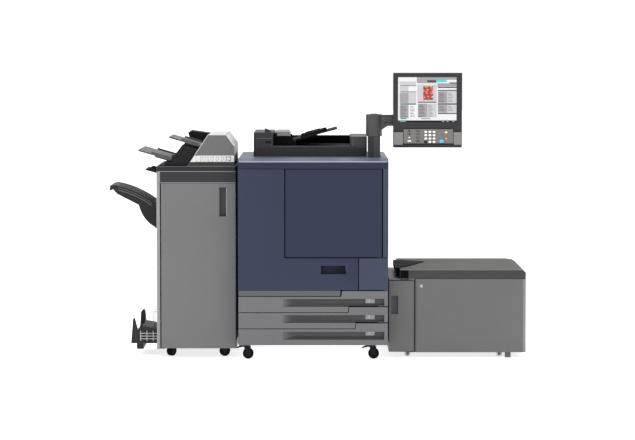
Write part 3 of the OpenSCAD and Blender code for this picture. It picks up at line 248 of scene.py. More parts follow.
def shell(node, materials, pick=None, cuts=(), edge_mm=1.5):
    """The moulded or pressed piece that stands for a CAD node: same shape, with eased edges."""
    bm = bmesh.new()
    bm.from_mesh(frame["nodes"][node].data)
    bmesh.ops.remove_doubles(bm, verts=bm.verts, dist=0.01 * MM)
    for axis, place in cuts:
        geometry = bm.verts[:] + bm.edges[:] + bm.faces[:]
        bmesh.ops.bisect_plane(
            bm, geom=geometry, dist=1e-6, plane_co=AXES[axis] * place, plane_no=AXES[axis]
        )
    for f in bm.faces:
        f.material_index = pick(f.calc_center_median(), f.normal) if pick else 0
    if edge_mm:
        for _ in range(RING_CUTS):
            if not open_ring(bm):
                break
        flat = math.radians(0.1)
        limits = {"MATERIAL", "SEAM"}
        bmesh.ops.dissolve_limit(bm, angle_limit=flat, verts=bm.verts, edges=bm.edges, delimit=limits)
        ease_edges(bm, edge_mm)
    piece = put(node + "_shell", bm, materials, frame["nodes"][node]["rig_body"])
    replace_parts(piece, node)
    return piece


def coat(node, materials, pick=None):
    """Gives a CAD node that is shown as it is its materials."""
    mesh = frame["nodes"][node].data
    mesh.materials.clear()
    for material in materials:
        mesh.materials.append(material)
    for polygon in mesh.polygons:
        polygon.material_index = pick(polygon.center, polygon.normal) if pick else 0


def prism(bm, outline, y0, y1, crown_mm=0.0, index=0):
    """A solid with an (x, z) outline from y0 at its front back to y1; a crown rounds its face."""
    middle = Vector((sum(p[0] for p in outline), sum(p[1] for p in outline))) / len(outline)
    rings = [(y1, 0.0), (y0 + crown_mm * MM, 0.0)]
    if crown_mm:
        rings += [(y0 + 0.35 * crown_mm * MM, 0.5 * crown_mm), (y0, 1.4 * crown_mm)]
    loops = []
    for y, inset in rings:
        loop = []
        for x, z in outline:
            reach = Vector((x, z)) - middle
            inner = middle + reach * max(0.1, 1 - inset * MM / max(reach.length, 1e-6))
            loop.append(bm.verts.new((inner.x, y, inner.y)))
        loops.append(loop)
    count = len(outline)
    faces = [bm.faces.new(loops[0]), bm.faces.new(loops[-1])]
    for a, b in zip(loops, loops[1:]):
        for i in range(count):
            faces.append(bm.faces.new((a[i], a[(i + 1) % count], b[(i + 1) % count], b[i])))
    for f in faces:
        f.material_index = index
    bmesh.ops.recalc_face_normals(bm, faces=faces)


def rounded(x0, z0, x1, z1, radius, steps=5):
    """The (x, z) outline of a rectangle with round corners."""
    radius = min(radius, (x1 - x0) / 2, (z1 - z0) / 2)
    points = []
    for cx, cz, start in (
        (x1 - radius, z0 + radius, -90),
        (x1 - radius, z1 - radius, 0),
        (x0 + radius, z1 - radius, 90),
        (x0 + radius, z0 + radius, 180),
    ):
        for i in range(steps + 1):
            a = math.radians(start + 90 * i / steps)
            points.append((cx + radius * math.cos(a), cz + radius * math.sin(a)))
    return points


def bar(bm, x0, z0, x1, z1, radius, y0, y1, crown_mm=0.0, index=0):
    """A plate or bar from one (x, z) corner to the other with round corners, from y0 to y1."""
    prism(bm, rounded(x0, z0, x1, z1, radius), y0, y1, crown_mm, index)


def screws(name, spots, axis, outward, body, material, size_mm=4.2):
    """Pan-head screws with a six-sided socket, standing on a face that looks along axis."""
    bm = bmesh.new()
    turn = Vector((0, 0, 1)).rotation_difference(AXES[axis] * outward).to_matrix()
    radius = size_mm * MM
    profile = [(1.0, -0.25), (1.0, 0.12), (0.86, 0.42), (0.5, 0.56), (0.48, 0.2)]
    for spot in spots:
        rings = []
        for reach, lift in profile:
            ring = []
            for i in range(12):
                a = math.radians(30 * i)
                flat = math.cos(math.radians(30)) if reach < 0.49 and i % 2 else 1
                out = Vector((math.cos(a) * flat * reach, math.sin(a) * flat * reach, lift))
                ring.append(bm.verts.new(Vector(spot) + turn @ out * radius))
            rings.append(ring)
        for a, b in zip(rings, rings[1:]):
            for i in range(12):
                bm.faces.new((a[i], a[(i + 1) % 12], b[(i + 1) % 12], b[i]))
        bm.faces.new(rings[-1])
        bm.faces.new(list(reversed(rings[0])))
    bmesh.ops.recalc_face_normals(bm, faces=bm.faces)
    return put(name, bm, [material], body)


navy_abs = finish("navy_abs", "262d44", 1.4, 0.05, 0.48, edge=0.5, gloss=0.3)
deck_abs = finish("deck_abs", "4e546d", 1.4, 0.05, 0.42, edge=0.4, gloss=0.4)
black_abs = moulded("black_abs", "131314", 0.55, gloss=0.2)
zinc_steel = finish("zinc_steel", "b9bcc0", 3.0, 0.02, 0.36, spread=0.12, Metallic=1.0)

engine_low, engine_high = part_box("engine_rear_cover")
deck_low, deck_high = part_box("top_deck")
left, right = deck_low.x, deck_high.x
front, back = deck_low.y, deck_high.y
for side in ("engine_left_cover", "engine_right_cover"):
    shell(side, [navy_abs], edge_mm=2)

inlet_right = left + 132 * MM
inlet_top = 174 * MM


def rear_cover_zone(centre, normal):
    """0 is the cover, 1 the inlet's moulding and 2 its three prongs."""
    inside = centre.x < inlet_right and centre.z < inlet_top and centre.y < back - 11 * MM
    prong = 151.9 * MM < centre.z < 158.1 * MM and back - 31.1 * MM < centre.y < back - 13.9 * MM
    if inside and prong and abs(normal.y + 1) > 0.1:
        return 2
    return 1 if inside or (centre.x < inlet_right and centre.z < inlet_top and abs(normal.y) < 0.5
                           and centre.x > left + 79 * MM and centre.z > 139 * MM) else 0


shell("engine_rear_cover", [navy_abs, black_abs, zinc_steel], rear_cover_zone)
shell("top_deck", [deck_abs], edge_mm=3)
rear_screws = [(x, back, z) for x in (left + 30 * MM, right - 30 * MM) for z in (0.11, 0.42, 0.7, 0.97)]
screws("rear_cover_screws", rear_screws, "y", 1, "chassis", zinc_steel)
for side, out in ((left, -1), (right, 1)):
    spots = [(side, y, z) for y in (front + 0.12, back - 0.06) for z in (0.12, 0.95)]
    name = "left_cover_screws" if out < 0 else "right_cover_screws"
    screws(name, spots, "x", out, "chassis", zinc_steel)

# Raised handles of the two lift-off panels in the rear cover: thin navy ABS plates with round
# corners, clipped on from behind, with a finger lip along their tops.
rear_panels = bmesh.new()
for x0, x1 in ((left + 0.06, left + 0.36), (left + 0.40, right - 0.06)):
    bar(rear_panels, x0, 0.24, x1, 0.64, 12 * MM, back - 1 * MM, back + 2 * MM)
    bar(rear_panels, x0 + 0.09, 0.60, x1 - 0.09, 0.618, 6 * MM, back, back + 5 * MM)
ease_edges(rear_panels, 0.8)
put("rear_lift_off_panels", rear_panels, [navy_abs], "chassis")

# Fixed front cover behind the doors: one steel-backed moulding with the navy band above the
# doors, the navy strip at their right and the grey strip over the drawers. Its steel backing is
# painted near black, a painted shade that shows in the door and drawer seams.
strip_abs = finish("strip_abs", "333c4d", 1.4, 0.05, 0.5, edge=0.5, gloss=0.3)
band_abs = finish("band_abs", "1a2138", 1.4, 0.05, 0.46, edge=0.4, gloss=0.3)
drawer_abs = moulded("drawer_abs", "656567", 0.5, edge=0.3, gloss=0.35)
header_abs = moulded("header_abs", "555557", 0.5, edge=0.3, gloss=0.35)
plate_painted_shade = finish("plate_painted_shade", "0d0d0f", 4.0, 0.02, 0.6, gloss=0.1)
door_low, door_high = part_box("left_front_door")
toner_low, toner_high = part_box("toner_door")
waste_low, waste_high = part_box("waste_toner_door")
plate_front = door_high.y + 5.9 * MM


def front_cover_zone(centre, normal):
    """0 is the navy band, 1 the strip beside the toner door, 2 the grey strip,
    3 the back plate, painted near black as shade in the seams.
    """
    if centre.y > plate_front:
        return 3
    if centre.z < door_low.z - 4 * MM:
        return 2
    return 0 if centre.z > toner_high.z else 1


cover_cuts = [("y", plate_front), ("z", toner_high.z + 1 * MM)]
front_materials = [band_abs, strip_abs, header_abs, plate_painted_shade]
shell("front_cover", front_materials, front_cover_zone, cover_cuts, 1.2)

# A pale strip along the deck's front nose: a painted highlight where the rounded edge catches the light.
nose_painted_highlight = finish("nose_painted_highlight", "8f94a6", 1.4, 0.04, 0.35, gloss=0.5)
nose = bmesh.new()
nose_z = deck_low.z + 1 * MM
bar(nose, left + 6 * MM, nose_z - 3 * MM, right - 6 * MM, nose_z + 2.5 * MM, 2 * MM, front - 1.2 * MM,
    front + 3 * MM, 0.8)
put("deck_nose_painted_highlight", nose, [nose_painted_highlight], "chassis")

# Front doors: hollow navy ABS mouldings on steel hinge pins. The left one is L-shaped and has
# the grip recess, whose lining is painted darker as shade; the lower right one hides the waste toner box.
# The toner door and the waste door take a darker and a paler copy of the navy: painted shade and painted
# light, as the light fell on each door.
navy_shaded_copy = finish("navy_shaded_copy", "1b233c", 1.4, 0.05, 0.46, edge=0.45, gloss=0.3)
navy_lit_copy = finish("navy_lit_copy", "32384e", 1.4, 0.05, 0.46, edge=0.45, gloss=0.3)
recess_painted_shade = finish("recess_painted_shade", "1d2230", 1.4, 0.05, 0.6, gloss=0.2)


grip_x, grip_z = left + 419 * MM, door_low.z + 80.5 * MM
grip_w, grip_h = 127 * MM, 44 * MM


def door_zone(centre, normal):
    """1 is the grip recess's lining, painted darker as shade, 0 the rest of the door."""
    in_x = grip_x - 1 * MM < centre.x < grip_x + grip_w + 1 * MM
    in_z = grip_z - 1 * MM < centre.z < grip_z + grip_h + 13 * MM
    return int(in_x and in_z and front + 1 * MM < centre.y < front + 28.5 * MM)


shell("left_front_door", [navy_abs, recess_painted_shade], door_zone, edge_mm=0)
shell("toner_door", [navy_shaded_copy], edge_mm=2)
shell("waste_toner_door", [navy_lit_copy], edge_mm=2)

# Catches on the doors' backs: sprung nylon tongues, each on a small nylon plate, that snap over
# the frame's edge.
nylon = finish("nylon", "cfcdc4", 2.0, 0.03, 0.4, Subsurface_Weight=0.1)


def catch(name, x, z, body):
    bm = bmesh.new()
    y = door_high.y
    bar(bm, x - 10 * MM, z - 16 * MM, x + 10 * MM, z + 16 * MM, 4 * MM, y - 36 * MM, y - 30 * MM)
    bar(bm, x - 6 * MM, z - 6 * MM, x + 6 * MM, z + 6 * MM, 3 * MM, y - 31 * MM, y + 2 * MM, 1)
    put(name, bm, [nylon], body)


catch("left_door_catch", door_high.x - 0.05, door_low.z + 0.11, "left_door")
catch("toner_door_catch", toner_low.x + 0.03, toner_low.z + 0.20, "toner_door_body")
catch("waste_door_catch", waste_low.x + 0.03, waste_low.z + 0.08, "waste_door")

# Paper drawers: grey ABS fronts with a long grip groove that fades out to the left, on trays
# folded from zinc-plated sheet. The groove's lining is painted darker as shade, blending to a
# paler grey towards its left end. A clear window in each groove shows the paper level.
groove_painted_shade = moulded("groove_painted_shade", "535354", 0.55, gloss=0.25)
fade_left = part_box("drawer_1_front")[0].x + 0.186
# Painted shade in the groove, paler towards the left end where the groove grows shallow.
tree = groove_painted_shade.node_tree
place = add_node(tree, "ShaderNodeTexCoord").outputs["Object"]
along = add_node(tree, "ShaderNodeSeparateXYZ", {0: place})
span = {"Value": along.outputs["X"], 1: fade_left, 2: fade_left + 0.07}
shade_fade = add_node(tree, "ShaderNodeMapRange", span)
base_colour = tree.nodes["Principled BSDF"].inputs["Base Color"]
shaded_tone = base_colour.links[0].from_socket
unshaded_tone = linear("6f6f71")
blend = add_node(tree, "ShaderNodeMix", {0: shade_fade.outputs[0], 6: unshaded_tone, 7: shaded_tone}, data_type="RGBA")
tree.links.new(blend.outputs[2], base_colour)
window_clear = finish("window_clear", "8f9092", 6.0, 0.01, 0.2, Coat_Weight=0.6)
mark_white = finish("mark_white", "c9c9c6", 2.0, 0.01, 0.4)
for number in (1, 2, 3):
    node = f"drawer_{number}_front"
    low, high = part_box(node)

    def drawer_zone(centre, normal):
        return int(front + 1 * MM < centre.y < front + 30.5 * MM and centre.z > low.z + 15 * MM
                   and centre.z < high.z - 3 * MM and low.x + 0.1 < centre.x < high.x - 10 * MM
                   and normal.y < 0.5)

    shell(node, [drawer_abs, groove_painted_shade], drawer_zone, edge_mm=1.5)
    groove_z = low.z + 28 * MM if number < 3 else low.z + 31 * MM
    window_x = high.x - 112 * MM
    gauge = bmesh.new()
    bar(gauge, window_x, groove_z + 16 * MM, window_x + 46 * MM, groove_z + 38 * MM, 3 * MM,
        front + 28.6 * MM, front + 31 * MM, 0.4)
    bar(gauge, window_x + 18 * MM, groove_z + 18 * MM, window_x + 21 * MM, groove_z + 36 * MM,
        1 * MM, front + 28 * MM, front + 29 * MM, 0, 1)
    put(f"drawer_{number}_paper_gauge", gauge, [window_clear, mark_white], f"drawer_{number}")
    shell(f"drawer_{number}_tray", [zinc_steel], edge_mm=0.8)
coat("drawer_runners", [zinc_steel])

# Inside the engine: a welded steel frame, four toner bottles with caps in the four toner
# colours, green-coated imaging drums on steel shafts, the transfer belt and the fuser.
bottle_plastic = finish("bottle_plastic", "d9d8d0", 2.5, 0.03, 0.35, Subsurface_Weight=0.1)
toner_caps = [
    finish("cap_yellow", "e0c21e", 2.0, 0.03, 0.35),
    finish("cap_magenta", "b8246c", 2.0, 0.03, 0.35),
    finish("cap_cyan", "1684b4", 2.0, 0.03, 0.35),
    finish("cap_black", "1b1b1d", 2.0, 0.03, 0.35),
]
drum_coat = finish("drum_coat", "2f6a55", 8.0, 0.005, 0.18, spread=0.04, Coat_Weight=0.5)
belt_film = finish("belt_film", "1d1d1f", 10.0, 0.005, 0.25, spread=0.04, Coat_Weight=0.4)
unit_steel = finish("unit_steel", "9a9da2", 3.0, 0.02, 0.38, spread=0.1, Metallic=0.9)
grip_green = finish("grip_green", "2f8f5b", 2.0, 0.04, 0.45)
coat("engine_frame", [zinc_steel])
bottles_low, bottles_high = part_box("toner_bottles")
bottle_pitch = (bottles_high.x - bottles_low.x - 90 * MM) / 3


def bottle_zone(centre, normal):
    """1 to 4 are the coloured caps from left to right; 0 is the bottles and their shelf."""
    if centre.y > bottles_low.y + 29.9 * MM or centre.z < bottles_low.z + 17 * MM:
        return 0
    return 1 + max(0, min(3, round((centre.x - bottles_low.x - 45 * MM) / bottle_pitch)))


shell("toner_bottles", [bottle_plastic] + toner_caps, bottle_zone, edge_mm=2)
drums_low, drums_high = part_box("imaging_drums")
drum_z = (drums_low.z + drums_high.z) / 2
drum_pitch = (drums_high.x - drums_low.x - 60 * MM) / 3


def off_axis(centre, first_x, pitch, z, count=4):
    return min(math.hypot(centre.x - first_x - i * pitch, centre.z - z) for i in range(count))


def drum_zone(centre, normal):
    return int(off_axis(centre, drums_low.x + 30 * MM, drum_pitch, drum_z) < 6.3 * MM)


shell("imaging_drums", [drum_coat, zinc_steel], drum_zone, edge_mm=0)
belt_low, belt_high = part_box("transfer_belt")


def belt_zone(centre, normal):
    near = off_axis(centre, belt_low.x + 24 * MM, belt_high.x - belt_low.x - 48 * MM,
                    (belt_low.z + belt_high.z) / 2, 2)
    return int(near < 6.3 * MM)


shell("transfer_belt", [belt_film, zinc_steel], belt_zone, edge_mm=0)
fuser_low, fuser_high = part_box("fuser_unit")


def fuser_zone(centre, normal):
    """1 is the green handle in the front pocket, 2 the two rollers, 0 the housing."""
    handle = centre.y < fuser_low.y + 8.5 * MM and 33 * MM < centre.x - fuser_low.x < 47 * MM
    rollers = off_axis(centre, fuser_low.x + 55 * MM - 0.3 * MM, 54 * MM,
                       fuser_low.z + 180 * MM, 2) < 24.4 * MM
    return 1 if handle else 2 if rollers and centre.y > fuser_low.y + 48 * MM else 0


shell("fuser_unit", [unit_steel, grip_green, belt_film], fuser_zone, edge_mm=1)

# Scanner: a charcoal ABS base that carries the exposure glass and the narrow slit glass.
charcoal_abs = moulded("charcoal_abs", "2b2b2d", 0.5, edge=0.3, gloss=0.3)
edge_highlight_grey = finish("edge_highlight_grey", "5c5c5e", 2.0, 0.02, 0.45)
float_glass = finish("float_glass", "aebfc2", 40.0, 0.001, 0.04, spread=0.02, Coat_Weight=1.0,
                     Transmission_Weight=0.35)
scan_low, scan_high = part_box("scanner_base")
feeder_low, feeder_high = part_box("feeder_body")
scan_top = feeder_low.z
shell("scanner_base", [charcoal_abs], edge_mm=2)
shell("platen_glass", [float_glass], edge_mm=0.5)

# Document feeder: the lid of the scanner in charcoal ABS, with its head and hinged cover on the
# left, the paper path in the middle and the exit's end block on the right. A white sheet of
# sponge-backed film under it presses on the glass.
feeder_abs = moulded("feeder_abs", "313133", 0.5, edge=0.4, gloss=0.3)
block_abs = moulded("block_abs", "484849", 0.5, edge=0.4, gloss=0.3)
cover_abs = moulded("cover_abs", "868485", 0.45, edge=0.3, gloss=0.35)
exit_painted_shade = moulded("exit_painted_shade", "060606", 0.7, gloss=0.1)
backing_film = finish("backing_film", "e9e9e6", 3.0, 0.02, 0.5, spread=0.02)
lid_front = scan_low.y
head_right = scan_low.x + 100 * MM
block_left = scan_high.x - 84 * MM
lid_top = scan_top + 8 * MM


def feeder_zone(centre, normal):
    """1 is the open paper exit between head and end block, painted near black as shade, 2 the end block, 0
    all else.
    """
    if head_right + 1 * MM < centre.x < block_left - 0.5 * MM and centre.z > lid_top - 0.2 * MM:
        return 1 if centre.y > lid_front + 1 * MM else 0
    return 2 if centre.x > block_left - 1 * MM and centre.z > lid_top + 1 * MM else 0


shell("feeder_body", [feeder_abs, exit_painted_shade, block_abs], feeder_zone, edge_mm=2)
shell("feeder_cover", [cover_abs], edge_mm=1.5)
sheet_tray_abs = moulded("sheet_tray_abs", "161617", 0.6, edge=0.25, gloss=0.05)
shell("document_tray", [sheet_tray_abs], edge_mm=1)

# Pale strips along the front edges of the feeder's lid and head: painted highlights where those edges catch
# the light.
highlight_lines = bmesh.new()
for x0, x1, z in (
    (head_right + 2 * MM, block_left - 2 * MM, lid_top - 2 * MM),
    (scan_low.x + 14 * MM, head_right - 4 * MM, scan_top + 46 * MM),
):
    bar(highlight_lines, x0, z, x1, z + 2.4 * MM, 1 * MM, lid_front - 0.7 * MM, lid_front + 2 * MM)
put("feeder_highlight_lines", highlight_lines, [edge_highlight_grey], "feeder")

latch = bmesh.new()
bar(latch, scan_low.x + 60 * MM, scan_top + 22 * MM, scan_low.x + 92 * MM, scan_top + 34 * MM, 4 * MM,
    lid_front - 1.5 * MM, lid_front + 2 * MM, 0.8)
put("feeder_head_latch", latch, [black_abs], "feeder")

film = bmesh.new()
glass_low, glass_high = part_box("platen_glass")
film_outline = rounded(glass_low.x + 34 * MM, glass_low.y + 4 * MM, glass_high.x - 4 * MM,
                       glass_high.y - 4 * MM, 3 * MM)
prism(film, film_outline, 0, 1.6 * MM)
for v in film.verts:
    v.co = Vector((v.co.x, v.co.z, scan_top - 0.25 * MM + v.co.y))
bmesh.ops.recalc_face_normals(film, faces=film.faces)
put("document_backing_film", film, [backing_film], "feeder")

# Paper guides on the document tray: two charcoal ABS fins with a foot each, which slide together
# on a rack under the tray and hold the originals square.
tray_low, tray_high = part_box("document_tray")
tray_slope = math.radians(15)
guides = bmesh.new()
for y in (tray_low.y + 0.09, tray_high.y - 0.11):
    outline = [(0.062, 0.0032), (0.176, 0.0032), (0.172, 0.012), (0.150, 0.019), (0.078, 0.019)]
    prism(guides, outline, y, y + 3 * MM, 0.5)
    bar(guides, 0.10, 0.0030, 0.14, 0.0060, 1 * MM, y - 14 * MM, y + 16 * MM)
hinge_x, hinge_z = tray_low.x + 7 * MM, scan_top + 32 * MM
for v in guides.verts:
    x, z = v.co.x, v.co.z
    v.co.x = hinge_x + x * math.cos(tray_slope) - z * math.sin(tray_slope)
    v.co.z = hinge_z + x * math.sin(tray_slope) + z * math.cos(tray_slope)
put("document_guides", guides, [charcoal_abs], "doc_tray")

# Operator panel's stand: an ABS post on the deck, and an arm of the same plastic over a steel
# pin. The post's right half is painted paler, a painted highlight.
post_abs = finish("post_abs", "1a191b", 1.2, 0.04, 0.4, edge=0.4, gloss=0.4)
arm_abs = finish("arm_abs", "444343", 1.2, 0.04, 0.42, edge=0.4, gloss=0.4)
post_low, post_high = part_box("panel_post")
arm_low, arm_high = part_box("panel_arm")
post_lit_half = finish("post_lit_half", "3a3839", 1.2, 0.04, 0.42, edge=0.4, gloss=0.35)
post_top = engine_high.z + 123 * MM
post_middle = post_low.x + 30 * MM


def post_zone(centre, normal):
    """0 is the post's left half, 1 the steel pin over it and 2 its right half, painted paler as a highlight.
    """
    if centre.z > post_top + 0.5 * MM:
        return 1
    return 2 if centre.x > post_middle else 0


def arm_zone(centre, normal):
    return int(centre.x > arm_high.x - 84 * MM)


shell("panel_post", [post_abs, zinc_steel, post_lit_half], post_zone,
      [("x", post_middle)], edge_mm=2)
shell("panel_arm", [arm_abs, zinc_steel], arm_zone, edge_mm=2)
arm_seam = bmesh.new()
for y in (arm_low.y + 21.4 * MM, arm_high.y - 22.4 * MM):
    outline = rounded(arm_low.x + 88 * MM, arm_high.z - 46 * MM, arm_high.x - 90 * MM,
                      arm_high.z - 43.5 * MM, 1 * MM)
    prism(arm_seam, outline, y, y + 1 * MM)
put("panel_arm_seams", arm_seam, [black_abs], "arm")

# Touch panel: a dark ABS housing with a glass-fronted display, a pale key plate between two
# ribbed side plates, rubber-dome keys and a row of small lamps.
panel_abs = moulded("panel_abs", "28282b", 0.5, edge=0.4, gloss=0.3)
plate_abs = finish("plate_abs", "706c6b", 1.6, 0.05, 0.5, gloss=0.3)
ribbed_abs = finish("ribbed_abs", "7d7b7a", 2.4, 0.12, 0.5, gloss=0.3)
key_white = finish("key_white", "e9e9e7", 2.0, 0.02, 0.35, spread=0.02)
key_dark = finish("key_dark", "17171a", 2.0, 0.02, 0.5, gloss=0.15)
start_blue = finish("start_blue", "4fb0d8", 2.0, 0.02, 0.25, spread=0.04, Coat_Weight=0.5)
stop_red = finish("stop_red", "cf7f83", 2.0, 0.02, 0.3, spread=0.04)
reset_yellow = finish("reset_yellow", "f0d795", 2.0, 0.02, 0.3, spread=0.04)
panel_low, panel_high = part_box("panel_housing")
panel_right = panel_low.x + 350 * MM
screen_low, screen_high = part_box("panel_screen")
face = panel_low.y
shell("panel_housing", [panel_abs], edge_mm=2.5)

keys_low, keys_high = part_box("number_keys")
plate_left, plate_right = panel_low.x + 53 * MM, panel_right - 46 * MM
plate_low, plate_high = panel_low.z + 22 * MM, panel_low.z + 94 * MM
key_boxes = [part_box(n) for n in ("start_key", "stop_key", "reset_key")]
pitch_x = (keys_high.x - keys_low.x - 15 * MM) / 2
pitch_z = (keys_high.z - keys_low.z - 11 * MM) / 3
wells = [
    (keys_low.x + i * pitch_x, keys_low.z + j * pitch_z, 15 * MM, 11 * MM)
    for i in range(3)
    for j in range(4)
] + [(a.x, a.z, b.x - a.x, b.z - a.z) for a, b in key_boxes]


def pierced_plate(bm, x0, z0, x1, z1, holes, y0, y1, index):
    """A thin plate cut into cells round its holes, so that every key has its opening."""
    margin = 0.4 * MM
    xs = sorted({x0, x1} | {v for x, z, w, h in holes for v in (x - margin, x + w + margin)})
    zs = sorted({z0, z1} | {v for x, z, w, h in holes for v in (z - margin, z + h + margin)})
    grid = {}
    solid = {}
    for i in range(len(xs) - 1):
        for j in range(len(zs) - 1):
            cx, cz = (xs[i] + xs[i + 1]) / 2, (zs[j] + zs[j + 1]) / 2
            solid[i, j] = not any(
                x - margin < cx < x + w + margin and z - margin < cz < z + h + margin
                for x, z, w, h in holes
            )
    for y in (y0, y1):
        for i, x in enumerate(xs):
            for j, z in enumerate(zs):
                grid[y, i, j] = bm.verts.new((x, y, z))
    made = []
    for (i, j), filled in solid.items():
        if not filled:
            continue
        ring = [(i, j), (i + 1, j), (i + 1, j + 1), (i, j + 1)]
        made.append(bm.faces.new([grid[y0, *p] for p in ring]))
        made.append(bm.faces.new([grid[y1, *p] for p in reversed(ring)]))
        beyond = [(i, j - 1), (i + 1, j), (i, j + 1), (i - 1, j)]
        for k, cell in enumerate(beyond):
            if not solid.get(cell, False):
                a, b = ring[k], ring[(k + 1) % 4]
                made.append(bm.faces.new([grid[y0, *b], grid[y0, *a], grid[y1, *a], grid[y1, *b]]))
    for f in made:
        f.material_index = index
    loose = [v for v in bm.verts if not v.link_faces]
    bmesh.ops.delete(bm, geom=loose, context="VERTS")
    bmesh.ops.recalc_face_normals(bm, faces=made)


plate = bmesh.new()
pierced_plate(plate, plate_left, plate_low, plate_right, plate_high, wells,
              face - 1.2 * MM, face - 0.1 * MM, 0)
for x0, x1 in ((panel_low.x + 3 * MM, plate_left - 3 * MM), (plate_right + 3 * MM, panel_right - 3 * MM)):
    outline = rounded(x0, panel_low.z + 15 * MM, x1, panel_low.z + 79 * MM, 3 * MM)
    prism(plate, outline, face - 1.2 * MM, face, 0.4, 1)
put("panel_key_plate", plate, [plate_abs, ribbed_abs], "panel")
lip = bmesh.new()
for outline in (
    rounded(plate_left - 6 * MM, plate_low - 7 * MM, plate_right + 6 * MM, plate_low - 2 * MM, 2 * MM),
    rounded(plate_left - 4 * MM, plate_high + 1 * MM, plate_right + 4 * MM, plate_high + 4 * MM, 1 * MM),
    rounded(panel_low.x + 3 * MM, panel_low.z + 81 * MM, plate_left - 4 * MM, panel_low.z + 85 * MM, 1 * MM),
    rounded(plate_right + 4 * MM, panel_low.z + 81 * MM, panel_right - 3 * MM, panel_low.z + 85 * MM, 1 * MM),
):
    prism(lip, outline, face - 1.4 * MM, face, 0.4)
put("panel_key_plate_lips", lip, [black_abs], "panel")


def key_caps(name, node, spots, materials, body):
    """Domed key caps with round corners, each on the stem that slides in its well."""
    low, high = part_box(node)
    bm = bmesh.new()
    for x, z, w, h, index in spots:
        bar(bm, x, z, x + w, z + h, 0.46 * min(w, h), low.y, high.y, 1.0, index)
    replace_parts(put(name, bm, materials, body), node)


grid_spots = [(x, z, w, h, int(k == 0)) for k, (x, z, w, h) in enumerate(wells[:12])]
key_caps("number_key_caps", "number_keys", grid_spots, [key_white, key_dark],
         "number_keys_body")
for well, node, material in zip(
    wells[12:], ("start_key", "stop_key", "reset_key"), (start_blue, stop_red, reset_yellow)
):
    key_caps(node + "_cap", node, [(*well, 0)], [material], node + "_body")

# Membrane pads printed on the key plate's left half, in dark and white ink with small lamps
# beside them: they have no travel of their own.
pads = bmesh.new()
pad_columns = ((82, (27, 62, 79)), (126, (27, 44, 61, 78)))
for column, (dx, heights) in enumerate(pad_columns):
    for dz in heights:
        x, z = panel_low.x + (dx - 9) * MM, panel_low.z + (dz + 3) * MM
        pale = int(column == 0 and dz == 27)
        bar(pads, x, z, x + 18 * MM, z + 8 * MM, 3.6 * MM, face - 1.7 * MM, face - 1.1 * MM, 0.3, pale)
        for lamp in range(2 - pale):
            lx = x + (4 + 8 * lamp) * MM
            bar(pads, lx, z + 3 * MM, lx + 3 * MM, z + 5 * MM, 1 * MM, face - 1.9 * MM, face - 1.6 * MM,
                0, 1 - pale)
arrow = [(panel_low.x + 76 * MM, panel_low.z + 49 * MM), (panel_low.x + 88 * MM, panel_low.z + 49 * MM),
         (panel_low.x + 82 * MM, panel_low.z + 57 * MM)]
prism(pads, arrow, face - 1.7 * MM, face - 1.1 * MM, 0, 1)
put("panel_membrane_pads", pads, [key_dark, key_white], "panel")

# Display: a lit page of plain generic settings lists and one picture preview, under glass. The
# page is laid out as thin printed layers, each a fifth of a millimetre proud of the last.


def lit(name, code, glow=0.25):
    """A lit part of the display: glass-smooth, and brighter than what lies round it."""
    return finish(name, code, 12.0, 0.001, 0.12, spread=0.03, Coat_Weight=0.3,
                  Emission_Color=linear(code), Emission_Strength=glow)


page_white = lit("page_white", "c6c4c7")
page_grey = lit("page_grey", "858386")
page_pale = lit("page_pale", "a9a7aa")
page_line = lit("page_line", "3f615c")
page_dark = lit("page_dark", "2b2b2d")
page_cyan = lit("page_cyan", "22b4b4")
page_black = finish("page_black", "060607", 12.0, 0.001, 0.3, gloss=0.1)
picture = lit("page_picture", "b0302c")
tree = picture.node_tree
place = add_node(tree, "ShaderNodeTexCoord").outputs["Object"]
berries = add_node(tree, "ShaderNodeTexVoronoi", {"Vector": place, "Scale": 120.0})
ripe = add_node(tree, "ShaderNodeValToRGB", {0: berries.outputs["Color"]})
for stop, code in ((0.0, "2c3f22"), (0.3, "7d1d20"), (0.6, "a8322c"), (0.9, "c98a70")):
    element = ripe.color_ramp.elements.new(stop)
    element.color = linear(code)
shader = tree.nodes["Principled BSDF"]
tree.links.new(ripe.outputs[0], shader.inputs["Base Color"])
tree.links.new(ripe.outputs[0], shader.inputs["Emission Color"])
page_tones = [page_white, page_grey, page_pale, page_line, page_dark, page_cyan, page_black, picture]
WHITE, GREY, PALE, LINE, DARK, CYAN, BLACK, PICTURE = range(8)
